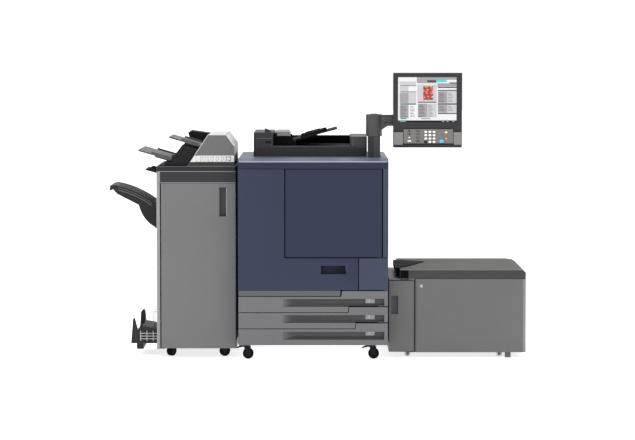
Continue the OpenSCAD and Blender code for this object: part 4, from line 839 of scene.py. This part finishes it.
page_layout = [
    (0.00, 0.00, 1.00, 1.00, WHITE), (0.32, 0.00, 1.00, 0.06, GREY), (0.32, 0.06, 0.66, 0.14, GREY),
    (0.03, 0.10, 0.31, 0.19, PALE), (0.03, 0.21, 0.18, 0.33, PALE), (0.03, 0.36, 0.18, 0.60, GREY),
    (0.18, 0.36, 0.31, 0.60, PALE), (0.03, 0.64, 0.18, 0.95, GREY), (0.33, 0.17, 0.66, 0.56, PALE),
    (0.34, 0.61, 0.50, 0.93, GREY), (0.50, 0.61, 0.66, 0.93, PALE), (0.67, 0.14, 1.00, 0.22, GREY),
    (0.68, 0.33, 0.84, 0.60, GREY), (0.84, 0.33, 1.00, 0.60, PALE), (0.68, 0.64, 0.84, 0.82, GREY),
    (0.84, 0.64, 1.00, 0.82, PALE), (0.50, 0.07, 0.65, 0.12, DARK), (0.65, 0.06, 0.83, 0.115, CYAN),
    (0.88, 0.12, 1.00, 0.155, LINE), (0.04, 0.19, 0.31, 0.205, LINE), (0.04, 0.33, 0.31, 0.35, LINE),
    (0.04, 0.605, 0.31, 0.635, LINE), (0.43, 0.21, 0.60, 0.525, PICTURE), (0.34, 0.565, 0.66, 0.59, DARK),
    (0.68, 0.225, 1.00, 0.25, DARK), (0.68, 0.295, 1.00, 0.32, DARK), (0.68, 0.605, 1.00, 0.635, DARK),
    (0.68, 0.825, 1.00, 0.85, DARK), (0.05, 0.95, 0.14, 0.97, LINE), (0.40, 0.95, 0.55, 0.965, DARK),
]
for column, top, rows in ((0.05, 0.67, 8), (0.36, 0.64, 9), (0.70, 0.36, 7), (0.70, 0.67, 4)):
    for row in range(rows):
        v = top + 0.033 * row
        long = 0.07 + 0.012 * ((row * 5) % 4)
        page_layout.append((column, v, column + long, v + 0.010, DARK))
        page_layout.append((column + 0.155, v, column + 0.155 + long * 0.8, v + 0.010, LINE))
display = bmesh.new()
span_x, span_z = screen_high.x - screen_low.x, screen_high.z - screen_low.z
for layer, (u0, v0, u1, v1, tone) in enumerate(page_layout):
    x0, x1 = screen_low.x + u0 * span_x, screen_low.x + u1 * span_x
    z0, z1 = screen_high.z - v1 * span_z, screen_high.z - v0 * span_z
    depth = (0.3 if layer == 0 else 0.5 if layer < 16 else 0.7) * MM
    prism(display, [(x0, z0), (x1, z0), (x1, z1), (x0, z1)], screen_low.y - depth, screen_low.y, 0, tone)
put("display_page", display, page_tones, "panel", smooth_deg=20)
coat("panel_screen", [page_black])

frame_lines = bmesh.new()
strip_z = screen_low.z - 7 * MM
bar(frame_lines, screen_low.x + 44 * MM, strip_z, screen_high.x, screen_low.z - 1 * MM, 1 * MM,
    face - 0.6 * MM, face, 0.2, 0)
lamp_row = [(screen_low.x + 9 * MM, 30), (screen_high.x - 75 * MM, 12), (screen_high.x - 52 * MM, 12),
            (screen_high.x - 24 * MM, 14)]
for x, w in lamp_row:
    bar(frame_lines, x, strip_z + 1 * MM, x + w * MM, strip_z + 4 * MM, 1.4 * MM, face - 1.0 * MM, face,
        0.2, 1)
lamp_teal = lit("lamp_teal", "5f9a95", 0.5)
put("panel_lamp_row", frame_lines, [page_black, lamp_teal], "panel")
back_screws = [
    (panel_low.x + dx * MM, panel_high.y, panel_low.z + dz * MM) for dx in (30, 320) for dz in (70, 320)
]
screws("panel_back_screws", back_screws, "y", 1, "panel", zinc_steel)

# Finisher: a sheet-steel cabinet in grey powder paint with a dark band and cap over the door, and a
# hollow ABS door with an upright finger recess. The corner post and the rim of the door's pull are
# painted paler, a painted highlight.
finisher_paint = finish("finisher_paint", "646466", 1.8, 0.04, 0.45, edge=0.35, gloss=0.35)
door_grey = moulded("door_grey", "686869", 0.46, edge=0.35, gloss=0.35)
highlight_pale = finish("highlight_pale", "868686", 1.8, 0.03, 0.42, edge=0.2)
band_dark = moulded("band_dark", "28282c", 0.5, edge=0.2, gloss=0.3)
cap_dark = moulded("cap_dark", "1c1c20", 0.5, edge=0.3, gloss=0.3)
# Pale for the finisher's trim lines, and for the painted highlight along the bank lid's front edge.
trim_and_highlight_pale = finish("trim_and_highlight_pale", "868688", 2.0, 0.02, 0.4)
# The pull recesses of the finisher door and the bank's relay door are lined in a darker grey: painted shade
# in the hollow.
recess_shade_grey = moulded("recess_shade_grey", "48484b", 0.55, gloss=0.25)
cabinet_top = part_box("finisher_cabinet")[1]
fin_low, fin_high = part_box("finisher_door")
skirt_low, skirt_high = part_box("finisher_skirt")
unit_front = fin_low.y
unit_left, unit_right = skirt_low.x, skirt_high.x
band_z = fin_high.z + 3 * MM
cap_z = cabinet_top.z - 26 * MM
post_right = unit_left + 18 * MM
body_front = unit_front + 47.5 * MM


def cabinet_zone(centre, normal):
    """0 is the body, 1 the corner post painted paler as a highlight, 2 the band over the door and 3 the cap.
    """
    if centre.z > cap_z:
        return 3
    if centre.y > body_front or normal.z > 0.9:
        return 0
    if centre.x < post_right:
        return 1
    return 2 if centre.z > band_z - 1 * MM else 0


cabinet_cuts = [("z", band_z), ("z", cap_z), ("x", post_right), ("y", body_front)]
shell("finisher_cabinet", [finisher_paint, highlight_pale, band_dark, cap_dark],
      cabinet_zone, cabinet_cuts)
shell("finisher_skirt", [finisher_paint, highlight_pale],
      lambda c, n: int(c.x < post_right and c.y < body_front),
      [("x", post_right), ("y", body_front)], edge_mm=0)


def in_box(centre, x0, z0, x1, z1, y0, y1):
    return x0 < centre.x < x1 and y0 < centre.y < y1 and z0 < centre.z < z1


pull_x, pull_z = unit_left + 320 * MM, 722 * MM
shell("finisher_door", [door_grey, recess_shade_grey],
      lambda c, n: int(in_box(c, pull_x - 1 * MM, pull_z - 1 * MM, pull_x + 39 * MM, pull_z + 148 * MM,
                              unit_front + 1 * MM, unit_front + 26.5 * MM)), edge_mm=2)
trims = bmesh.new()
for z in (band_z, cap_z):
    bar(trims, unit_left + 4 * MM, z - 1.4 * MM, unit_right - 4 * MM, z + 1.4 * MM, 1.2 * MM,
        unit_front - 0.8 * MM, unit_front + 3 * MM, 0.3)
put("finisher_trim_lines", trims, [trim_and_highlight_pale], "chassis")
pull_highlight = bmesh.new()
bar(pull_highlight, pull_x + 33 * MM, pull_z + 1 * MM, pull_x + 38 * MM, pull_z + 146 * MM, 2 * MM,
    unit_front - 0.6 * MM, unit_front + 4 * MM, 0.4)
put("finisher_pull_highlight", pull_highlight, [highlight_pale], "fin_door")
catch_z = fin_low.z + 0.42
fin_catch = bmesh.new()
bar(fin_catch, fin_high.x - 30 * MM, catch_z, fin_high.x - 12 * MM, catch_z + 34 * MM, 4 * MM,
    unit_front + 3.5 * MM, unit_front + 34 * MM, 0.6)
put("finisher_door_catch", fin_catch, [nylon], "fin_door")
finisher_back = cabinet_top.y
panel = bmesh.new()
bar(panel, unit_left + 0.03, 0.12, unit_right - 0.03, 0.88, 10 * MM, finisher_back - 1 * MM,
    finisher_back + 1.6 * MM)
ease_edges(panel, 0.6)
put("finisher_back_panel", panel, [finisher_paint], "chassis")
spots = [
    (x, finisher_back + 1.6 * MM, z) for x in (unit_left + 0.05, unit_right - 0.05) for z in (0.15, 0.5, 0.85)
]
screws("finisher_back_screws", spots, "y", 1, "chassis", zinc_steel)

# Output trays of black ABS: the ribbed stacker tray on its lift, the short proof tray over it
# and the booklet tray by the floor, with bright wire guides and rubber stops.
tray_black = finish("tray_black", "111112", 1.2, 0.06, 0.5, edge=0.35, gloss=0.35)
bright_wire = finish("bright_wire", "b9babb", 3.0, 0.01, 0.3, spread=0.04, Metallic=0.3)
book_grey = finish("book_grey", "1f1f20", 1.2, 0.06, 0.5, edge=0.4, gloss=0.3)
shell("stacker_tray", [tray_black], edge_mm=1)
shell("proof_tray", [tray_black], edge_mm=0.8)
tray_tip = unit_left - 140 * MM
tray_front = unit_front + 120 * MM
wire_spots = [(x, tray_front + dy * MM) for x in (unit_left - 30 * MM, tray_tip + 72 * MM)
              for dy in (90, 230)]


def booklet_zone(centre, normal):
    near = min(math.hypot(centre.x - x, centre.y - y) for x, y in wire_spots) < 2.6 * MM
    return int(near and centre.z > 70.1 * MM or centre.z > 213.5 * MM)


shell("booklet_tray", [book_grey, bright_wire], booklet_zone, edge_mm=0.8)
rack = bmesh.new()
for z in (84, 98, 112):
    bar(rack, tray_tip + 44 * MM, z * MM, unit_left - 3 * MM, (z + 3) * MM, 1.5 * MM,
        tray_front - 2.6 * MM, tray_front + 0.6 * MM, 0.5)
for x in (unit_left - 92 * MM, unit_left - 60 * MM, unit_left - 28 * MM):
    bar(rack, x, 74 * MM, x + 3 * MM, 128 * MM, 1.5 * MM, tray_front - 3.4 * MM,
        tray_front - 0.4 * MM, 0.5)
put("booklet_wire_rack", rack, [bright_wire], "chassis")
stack_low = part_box("stacker_tray")[0]
bed = bmesh.new()
for i in range(3):
    y0 = stack_low.y + (52 + 96 * i) * MM
    outline = []
    for k in range(9):
        t = 0.12 + 0.80 * k / 8
        drop = 4 * 15 * MM * t * (1 - t)
        a, b = Vector((unit_left - 8 * MM, 772 * MM)), Vector((unit_left - 224 * MM, 875 * MM))
        along = (b - a).normalized()
        spot = a + (b - a) * t + Vector((-along.y, along.x)) * -drop
        outline.append(spot)
    upper = [(p.x, p.y + 2.4 * MM) for p in outline]
    lower = [(p.x, p.y - 1 * MM) for p in reversed(outline)]
    prism(bed, upper + lower, y0, y0 + 44 * MM)
ease_edges(bed, 0.8)
put("stacker_bed_pads", bed, [tray_black], "stacker")
# Two ribs along the stacker's flank in a paler grey: painted highlights standing for the light along its
# curved edges.
rib_highlight_grey = moulded("rib_highlight_grey", "4d4d4f", 0.4, edge=0.4)
flank = bmesh.new()
for drop_mm, thick_mm in ((-9, 3), (-20, 5)):
    upper = [(p.x, p.y + drop_mm * MM) for p in outline]
    lower = [(p.x, p.y + (drop_mm - thick_mm) * MM) for p in reversed(outline)]
    prism(flank, upper + lower, stack_low.y - 1 * MM, stack_low.y + 2 * MM)
put("stacker_flank_highlight_ribs", flank, [rib_highlight_grey], "stacker")

# Cover inserter: a grey ABS housing, a white control strip with six keys, a black feed head and two
# sheet trays with paper guides. The housing's upward and right-facing faces, and strips along their
# edges, are painted pale as a highlight.
housing_grey = moulded("housing_grey", "606060", 0.48, edge=0.3, gloss=0.35)
foot_grey = moulded("foot_grey", "262625", 0.5, gloss=0.3)
shoulder_highlight_pale = finish("shoulder_highlight_pale", "c5c5c4", 1.2, 0.04, 0.42, spread=0.04)
strip_white = finish("strip_white", "cdcbcb", 1.6, 0.03, 0.4, spread=0.03)
tray_lit_top = moulded("tray_lit_top", "66666a", 0.5, edge=0.3, gloss=0.15)
tray_shaded_side = moulded("tray_shaded_side", "424242", 0.5, edge=0.3)
house_low, house_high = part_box("inserter_housing")
strip_z0, strip_z1 = house_low.z + 23 * MM, house_low.z + 55 * MM


def housing_zone(centre, normal):
    """0 is the side wall, 1 the foot, 2 the white control strip, 3 the top and right shoulder, painted pale
    as a highlight.
    """
    if normal.x > 0.25 and centre.z > strip_z1 or normal.z > 0.9:
        return 3
    if centre.z < strip_z0:
        return 1
    return 2 if centre.z < strip_z1 and normal.y < -0.5 and centre.y < unit_front + 0.5 * MM else 0


shell("inserter_housing", [housing_grey, foot_grey, strip_white, shoulder_highlight_pale],
      housing_zone, [("z", strip_z0), ("z", strip_z1)])
lean_x = (house_high.x - 134 * MM - house_low.x) / (house_high.z - house_low.z)


def leaning(z):
    return house_low.x + (z - house_low.z) * lean_x


edge_highlights = bmesh.new()
top_left = leaning(house_high.z)
for outline in (
    [(top_left, house_high.z - 3 * MM), (top_left + 92 * MM, house_high.z - 3 * MM),
     (top_left + 91 * MM, house_high.z + 1 * MM), (top_left + 2 * MM, house_high.z + 1 * MM)],
    [(top_left + 92 * MM, house_high.z - 4 * MM), (house_high.x - 3 * MM, house_high.z - 58 * MM),
     (house_high.x, house_high.z - 56 * MM), (top_left + 92 * MM, house_high.z + 1 * MM)],
    [(leaning(house_low.z + 56 * MM), house_low.z + 56 * MM), (leaning(house_low.z + 56 * MM) + 3 * MM,
     house_low.z + 56 * MM), (top_left + 3 * MM, house_high.z - 1 * MM), (top_left, house_high.z - 1 * MM)],
):
    prism(edge_highlights, outline, unit_front - 1 * MM, unit_front + 6 * MM, 0.3)
put("inserter_edge_highlight", edge_highlights, [shoulder_highlight_pale], "chassis")
inner = bmesh.new()
x0, x1 = house_high.x - 128 * MM, house_high.x - 20 * MM
outline = [(x0 + 4 * MM, strip_z1 + 18 * MM), (x1, strip_z1 + 18 * MM), (x1, strip_z1 + 42 * MM),
           (x1 - 30 * MM, house_high.z - 12 * MM), (x0 + 24 * MM, house_high.z - 12 * MM)]
prism(inner, outline, unit_front - 1.4 * MM, unit_front, 0.6)
put("inserter_side_inlay", inner, [housing_grey], "chassis")
marks = bmesh.new()
for k in range(9):
    x = house_low.x + (44 + 21 * k) * MM
    tall = 6 if k % 3 else 10
    bar(marks, x, strip_z0 + 2.5 * MM, x + tall * MM, strip_z0 + 5 * MM, 1 * MM, unit_front - 0.5 * MM,
        unit_front, 0, 0)
    bar(marks, x + 3 * MM, strip_z1 - 5 * MM, x + 8 * MM, strip_z1 - 3 * MM, 1 * MM,
        unit_front - 0.5 * MM, unit_front, 0, k % 2)
put("inserter_strip_marks", marks, [housing_grey, lamp_teal], "chassis")
ins_low, ins_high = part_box("inserter_keys")
buttons = []
for k in range(6):
    width = 22 if k == 5 else 12
    buttons.append((house_low.x + (70 + 26 * k) * MM, ins_low.z, width * MM, ins_high.z - ins_low.z, 0))
key_rim = finish("key_rim", "c9c9ca", 2.0, 0.02, 0.35)
key_caps("inserter_key_caps", "inserter_keys", buttons, [key_rim], "inserter_keys_body")
shell("inserter_feed_head", [black_abs], edge_mm=1)


# Upward faces of the inserter trays take the paler tone and the rest the darker one: painted light and shade
# on one grey plastic.
def tray_zone(centre, normal):
    return int(normal.z < 0.8)


shell("inserter_lower_tray", [tray_lit_top, tray_shaded_side], tray_zone, edge_mm=1.2)
shell("inserter_upper_tray", [tray_lit_top, tray_shaded_side], tray_zone, edge_mm=1.2)

# Paper bank: a painted steel cabinet with a pressed front panel, a relay door beside the engine
# and a lid of dark ABS whose grey top slopes down at its right, over a lift plate for the paper.
# The front panel's right edge is painted paler, a painted highlight.
bank_grey = finish("bank_grey", "5f5f5f", 1.8, 0.04, 0.46, edge=0.35, gloss=0.35)
relay_grey = finish("relay_grey", "5e5e5e", 1.8, 0.04, 0.48, edge=0.3, gloss=0.3)
bank_corner_highlight = finish("bank_corner_highlight", "787878", 1.8, 0.04, 0.44)
lid_top = moulded("lid_top", "464441", 0.5, edge=0.4, gloss=0.15)
lid_front_abs = moulded("lid_front_abs", "353734", 0.5, edge=0.5, gloss=0.3)
lid_black = moulded("lid_black", "0a0a0a", 0.65, gloss=0.04)
bank_low, bank_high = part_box("bank_cabinet")
bank_panel_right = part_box("bank_front_panel")[1].x
relay_low, relay_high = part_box("bank_relay_door")
lid_low, lid_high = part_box("bank_lid")
lid_left = lid_low.x + 20 * MM
lid_face_z = lid_high.z - 3.5 * MM
shell("bank_cabinet", [bank_grey])
shell("bank_front_panel", [bank_grey, bank_corner_highlight],
      lambda c, n: int(c.x > bank_panel_right - 16.2 * MM and n.y < 0.5),
      [("x", bank_panel_right - 16 * MM)], edge_mm=1)
# The relay door's pull recess takes the darker grey as painted shade.
shell("bank_relay_door", [relay_grey, recess_shade_grey],
      lambda c, n: int(in_box(c, relay_low.x + 11 * MM, 225 * MM, relay_low.x + 47 * MM, 319 * MM,
                              unit_front + 1 * MM, unit_front + 13.5 * MM)))
lid_end = lid_left + 44 * MM


def lid_zone(centre, normal):
    """0 is the grey top, 1 the dark sides, 2 the black left end and the wedge on the top."""
    if centre.x < lid_left - 0.1 * MM or centre.z > lid_face_z + 0.1 * MM:
        return 2
    if normal.y < -0.5 and centre.x < lid_end:
        return 2
    return 0 if normal.z > 0.25 else 1


shell("bank_lid", [lid_top, lid_front_abs, lid_black], lid_zone, [("x", lid_end)], edge_mm=2)
coat("bank_lift_plate", [zinc_steel])
# A pale strip along the lid's front top edge: a painted highlight where that edge catches the light.
rim = bmesh.new()
bar(rim, lid_left + 2 * MM, lid_face_z - 5 * MM, lid_high.x - 22 * MM, lid_face_z - 2.4 * MM, 1.2 * MM,
    lid_low.y - 0.8 * MM, lid_low.y + 2 * MM, 0.3)
put("bank_lid_highlight", rim, [trim_and_highlight_pale], "lid")
button = bmesh.new()
centre_x = relay_high.x + 8 * MM
bar(button, centre_x - 12 * MM, 417 * MM, centre_x + 12 * MM, 441 * MM, 12 * MM, unit_front - 1.5 * MM,
    unit_front + 2 * MM, 0.8)
put("bank_lid_button", button, [lid_front_abs], "lid")

# Tray number on the paper bank: a plain figure four in three pale strokes on a grey disc, as on
# a dial, and behind the bank the lift-off back panel of painted sheet with its screws.
tag = bmesh.new()
tag_x, tag_z = relay_high.x + 38 * MM, 368 * MM
bar(tag, tag_x - 13 * MM, tag_z - 13 * MM, tag_x + 13 * MM, tag_z + 13 * MM, 13 * MM,
    unit_front - 0.8 * MM, unit_front + 1 * MM, 0.3, 0)
for x0, z0, x1, z1 in ((1, -9, 4.5, 9), (-9, -4, 8, -1)):
    outline = [(tag_x + x * MM, tag_z + z * MM) for x, z in ((x0, z0), (x1, z0), (x1, z1), (x0, z1))]
    prism(tag, outline, unit_front - 1.2 * MM, unit_front, 0, 1)
slant = [(tag_x + x * MM, tag_z + z * MM) for x, z in ((-9, -1), (-5, -1), (4.5, 9), (1, 9))]
prism(tag, slant, unit_front - 1.2 * MM, unit_front, 0, 1)
put("bank_tray_number", tag, [relay_grey, mark_white], "chassis")
back_plate = bmesh.new()
cabinet_back = unit_front + 723 * MM
bar(back_plate, bank_low.x + 0.05, 0.08, bank_high.x - 0.05, 0.34, 10 * MM, cabinet_back - 1 * MM,
    cabinet_back + 1.6 * MM)
ease_edges(back_plate, 0.6)
put("bank_back_panel", back_plate, [bank_grey], "chassis")
spots = [(x, cabinet_back + 1.6 * MM, z) for x in (bank_low.x + 0.07, 0.715, bank_high.x - 0.07)
         for z in (0.1, 0.32)]
screws("bank_back_screws", spots, "y", 1, "chassis", zinc_steel)

# Casters: black enamelled steel forks with brake pedals, black polyurethane tyres on nylon hubs,
# and cast plated wheels under the paper bank. The plated rims have a pale base at low metalness, a
# painted reflection that keeps them bright in the shade under the bank.
tyre_rubber = finish("tyre_rubber", "080809", 2.4, 0.12, 0.8, gloss=0.05)
hub_nylon = finish("hub_nylon", "0e0e0f", 2.0, 0.05, 0.6, gloss=0.1)
fork_enamel = finish("fork_enamel", "0b0b0c", 1.5, 0.03, 0.45, edge=0.25, gloss=0.15)
plated_painted_shine = finish("plated_painted_shine", "d9dadc", 2.0, 0.03, 0.3, spread=0.08, Metallic=0.4)
cast_core = finish("cast_core", "47484a", 2.0, 0.05, 0.5, Metallic=0.5)


def wheel_zone(node, centres, share):
    """1 inside the tyre's rim on a wheel's flat sides, 0 on the tyre."""
    low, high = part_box(node)
    radius = (high.z - low.z) / 2

    def zone(centre, normal):
        nearest = min(centres, key=lambda c: (c[0] - centre.x) ** 2 + (c[1] - centre.y) ** 2)
        reach = Vector((centre.x - nearest[0], centre.y - nearest[1]))
        return int(math.hypot(reach.dot(nearest[2]), centre.z - radius) < share * radius)

    return zone


for unit in ("engine", "finisher"):
    for side in ("left", "right"):
        node = f"{unit}_{side}_wheel"
        low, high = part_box(node)
        turn = math.radians(50) if (unit, side) == ("finisher", "left") else 0
        rolls = Vector((math.cos(turn), math.sin(turn)))
        middle = ((low.x + high.x) / 2, (low.y + high.y) / 2, rolls)
        shell(node, [tyre_rubber, hub_nylon], wheel_zone(node, [middle], 0.8), edge_mm=0)
        shell(f"{unit}_{side}_fork", [fork_enamel], edge_mm=0.6)
    node = f"{unit}_rear_wheels"
    low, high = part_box(node)
    rolls = Vector((0, 1))
    ends = [(x, (low.y + high.y) / 2, rolls) for x in (low.x + 12 * MM, high.x - 12 * MM)]
    shell(node, [tyre_rubber, hub_nylon], wheel_zone(node, ends, 0.8), edge_mm=0)
for side in ("left", "right"):
    for end in ("front", "rear"):
        node = f"bank_{side}_{end}_wheel"
        low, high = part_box(node)
        middle = ((low.x + high.x) / 2, (low.y + high.y) / 2, Vector((1, 0)))
        shell(node, [plated_painted_shine, cast_core], wheel_zone(node, [middle], 0.5), edge_mm=0)

# Stage: a pale seamless paper floor, an even white surround and two large soft lamps, one over
# the object and one at its left. The camera stands far back with a long lens.
floor_paper = finish("floor_paper", "f4f4f4", 6.0, 0.02, 0.8, spread=0.01, gloss=0.1,
                     Emission_Color=linear("ffffff"), Emission_Strength=0.7)
ground = bmesh.new()
reach = 60
turns = ((-1, -1), (1, -1), (1, 1), (-1, 1))
corners = [ground.verts.new((x * reach, y * reach, 0)) for x, y in turns]
ground.faces.new(corners)
ground_mesh = bpy.data.meshes.new("floor")
ground.to_mesh(ground_mesh)
ground.free()
ground_mesh.materials.append(floor_paper)
floor = bpy.data.objects.new("floor", ground_mesh)
bpy.context.scene.collection.objects.link(floor)
floor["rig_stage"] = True

world = bpy.data.worlds.new("studio")
bpy.context.scene.world = world
world.use_nodes = True
world.node_tree.nodes["Background"].inputs["Color"].default_value = (1, 1, 1, 1)
world.node_tree.nodes["Background"].inputs["Strength"].default_value = 1.0


def soft_lamp(name, spot, aim, width, depth, watts):
    light = bpy.data.lights.new(name, "AREA")
    light.shape = "RECTANGLE"
    light.size = width
    light.size_y = depth
    light.energy = watts
    lamp = bpy.data.objects.new(name, light)
    lamp.location = spot
    lamp.rotation_euler = (Vector(aim) - Vector(spot)).to_track_quat("-Z", "Y").to_euler()
    bpy.context.scene.collection.objects.link(lamp)


soft_lamp("overhead_softbox", (0.3, 0.2, 4.6), (0, 0, 0.9), 5.0, 3.0, 70)
soft_lamp("left_softbox", (-4.2, -3.6, 2.6), (0, 0, 0.7), 2.4, 2.4, 15)

bpy.context.scene.view_settings.view_transform = "Standard"
camera = bpy.data.objects.new("camera", bpy.data.cameras.new("camera"))
camera.location = (0.003, -13.695, 1.540)
camera.rotation_euler = (math.radians(90 - 3.6), 0, 0)
camera.data.lens = 148.8
camera.data.sensor_width = 36
camera.data.clip_end = 200
bpy.context.scene.collection.objects.link(camera)
bpy.context.scene.camera = camera

low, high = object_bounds()
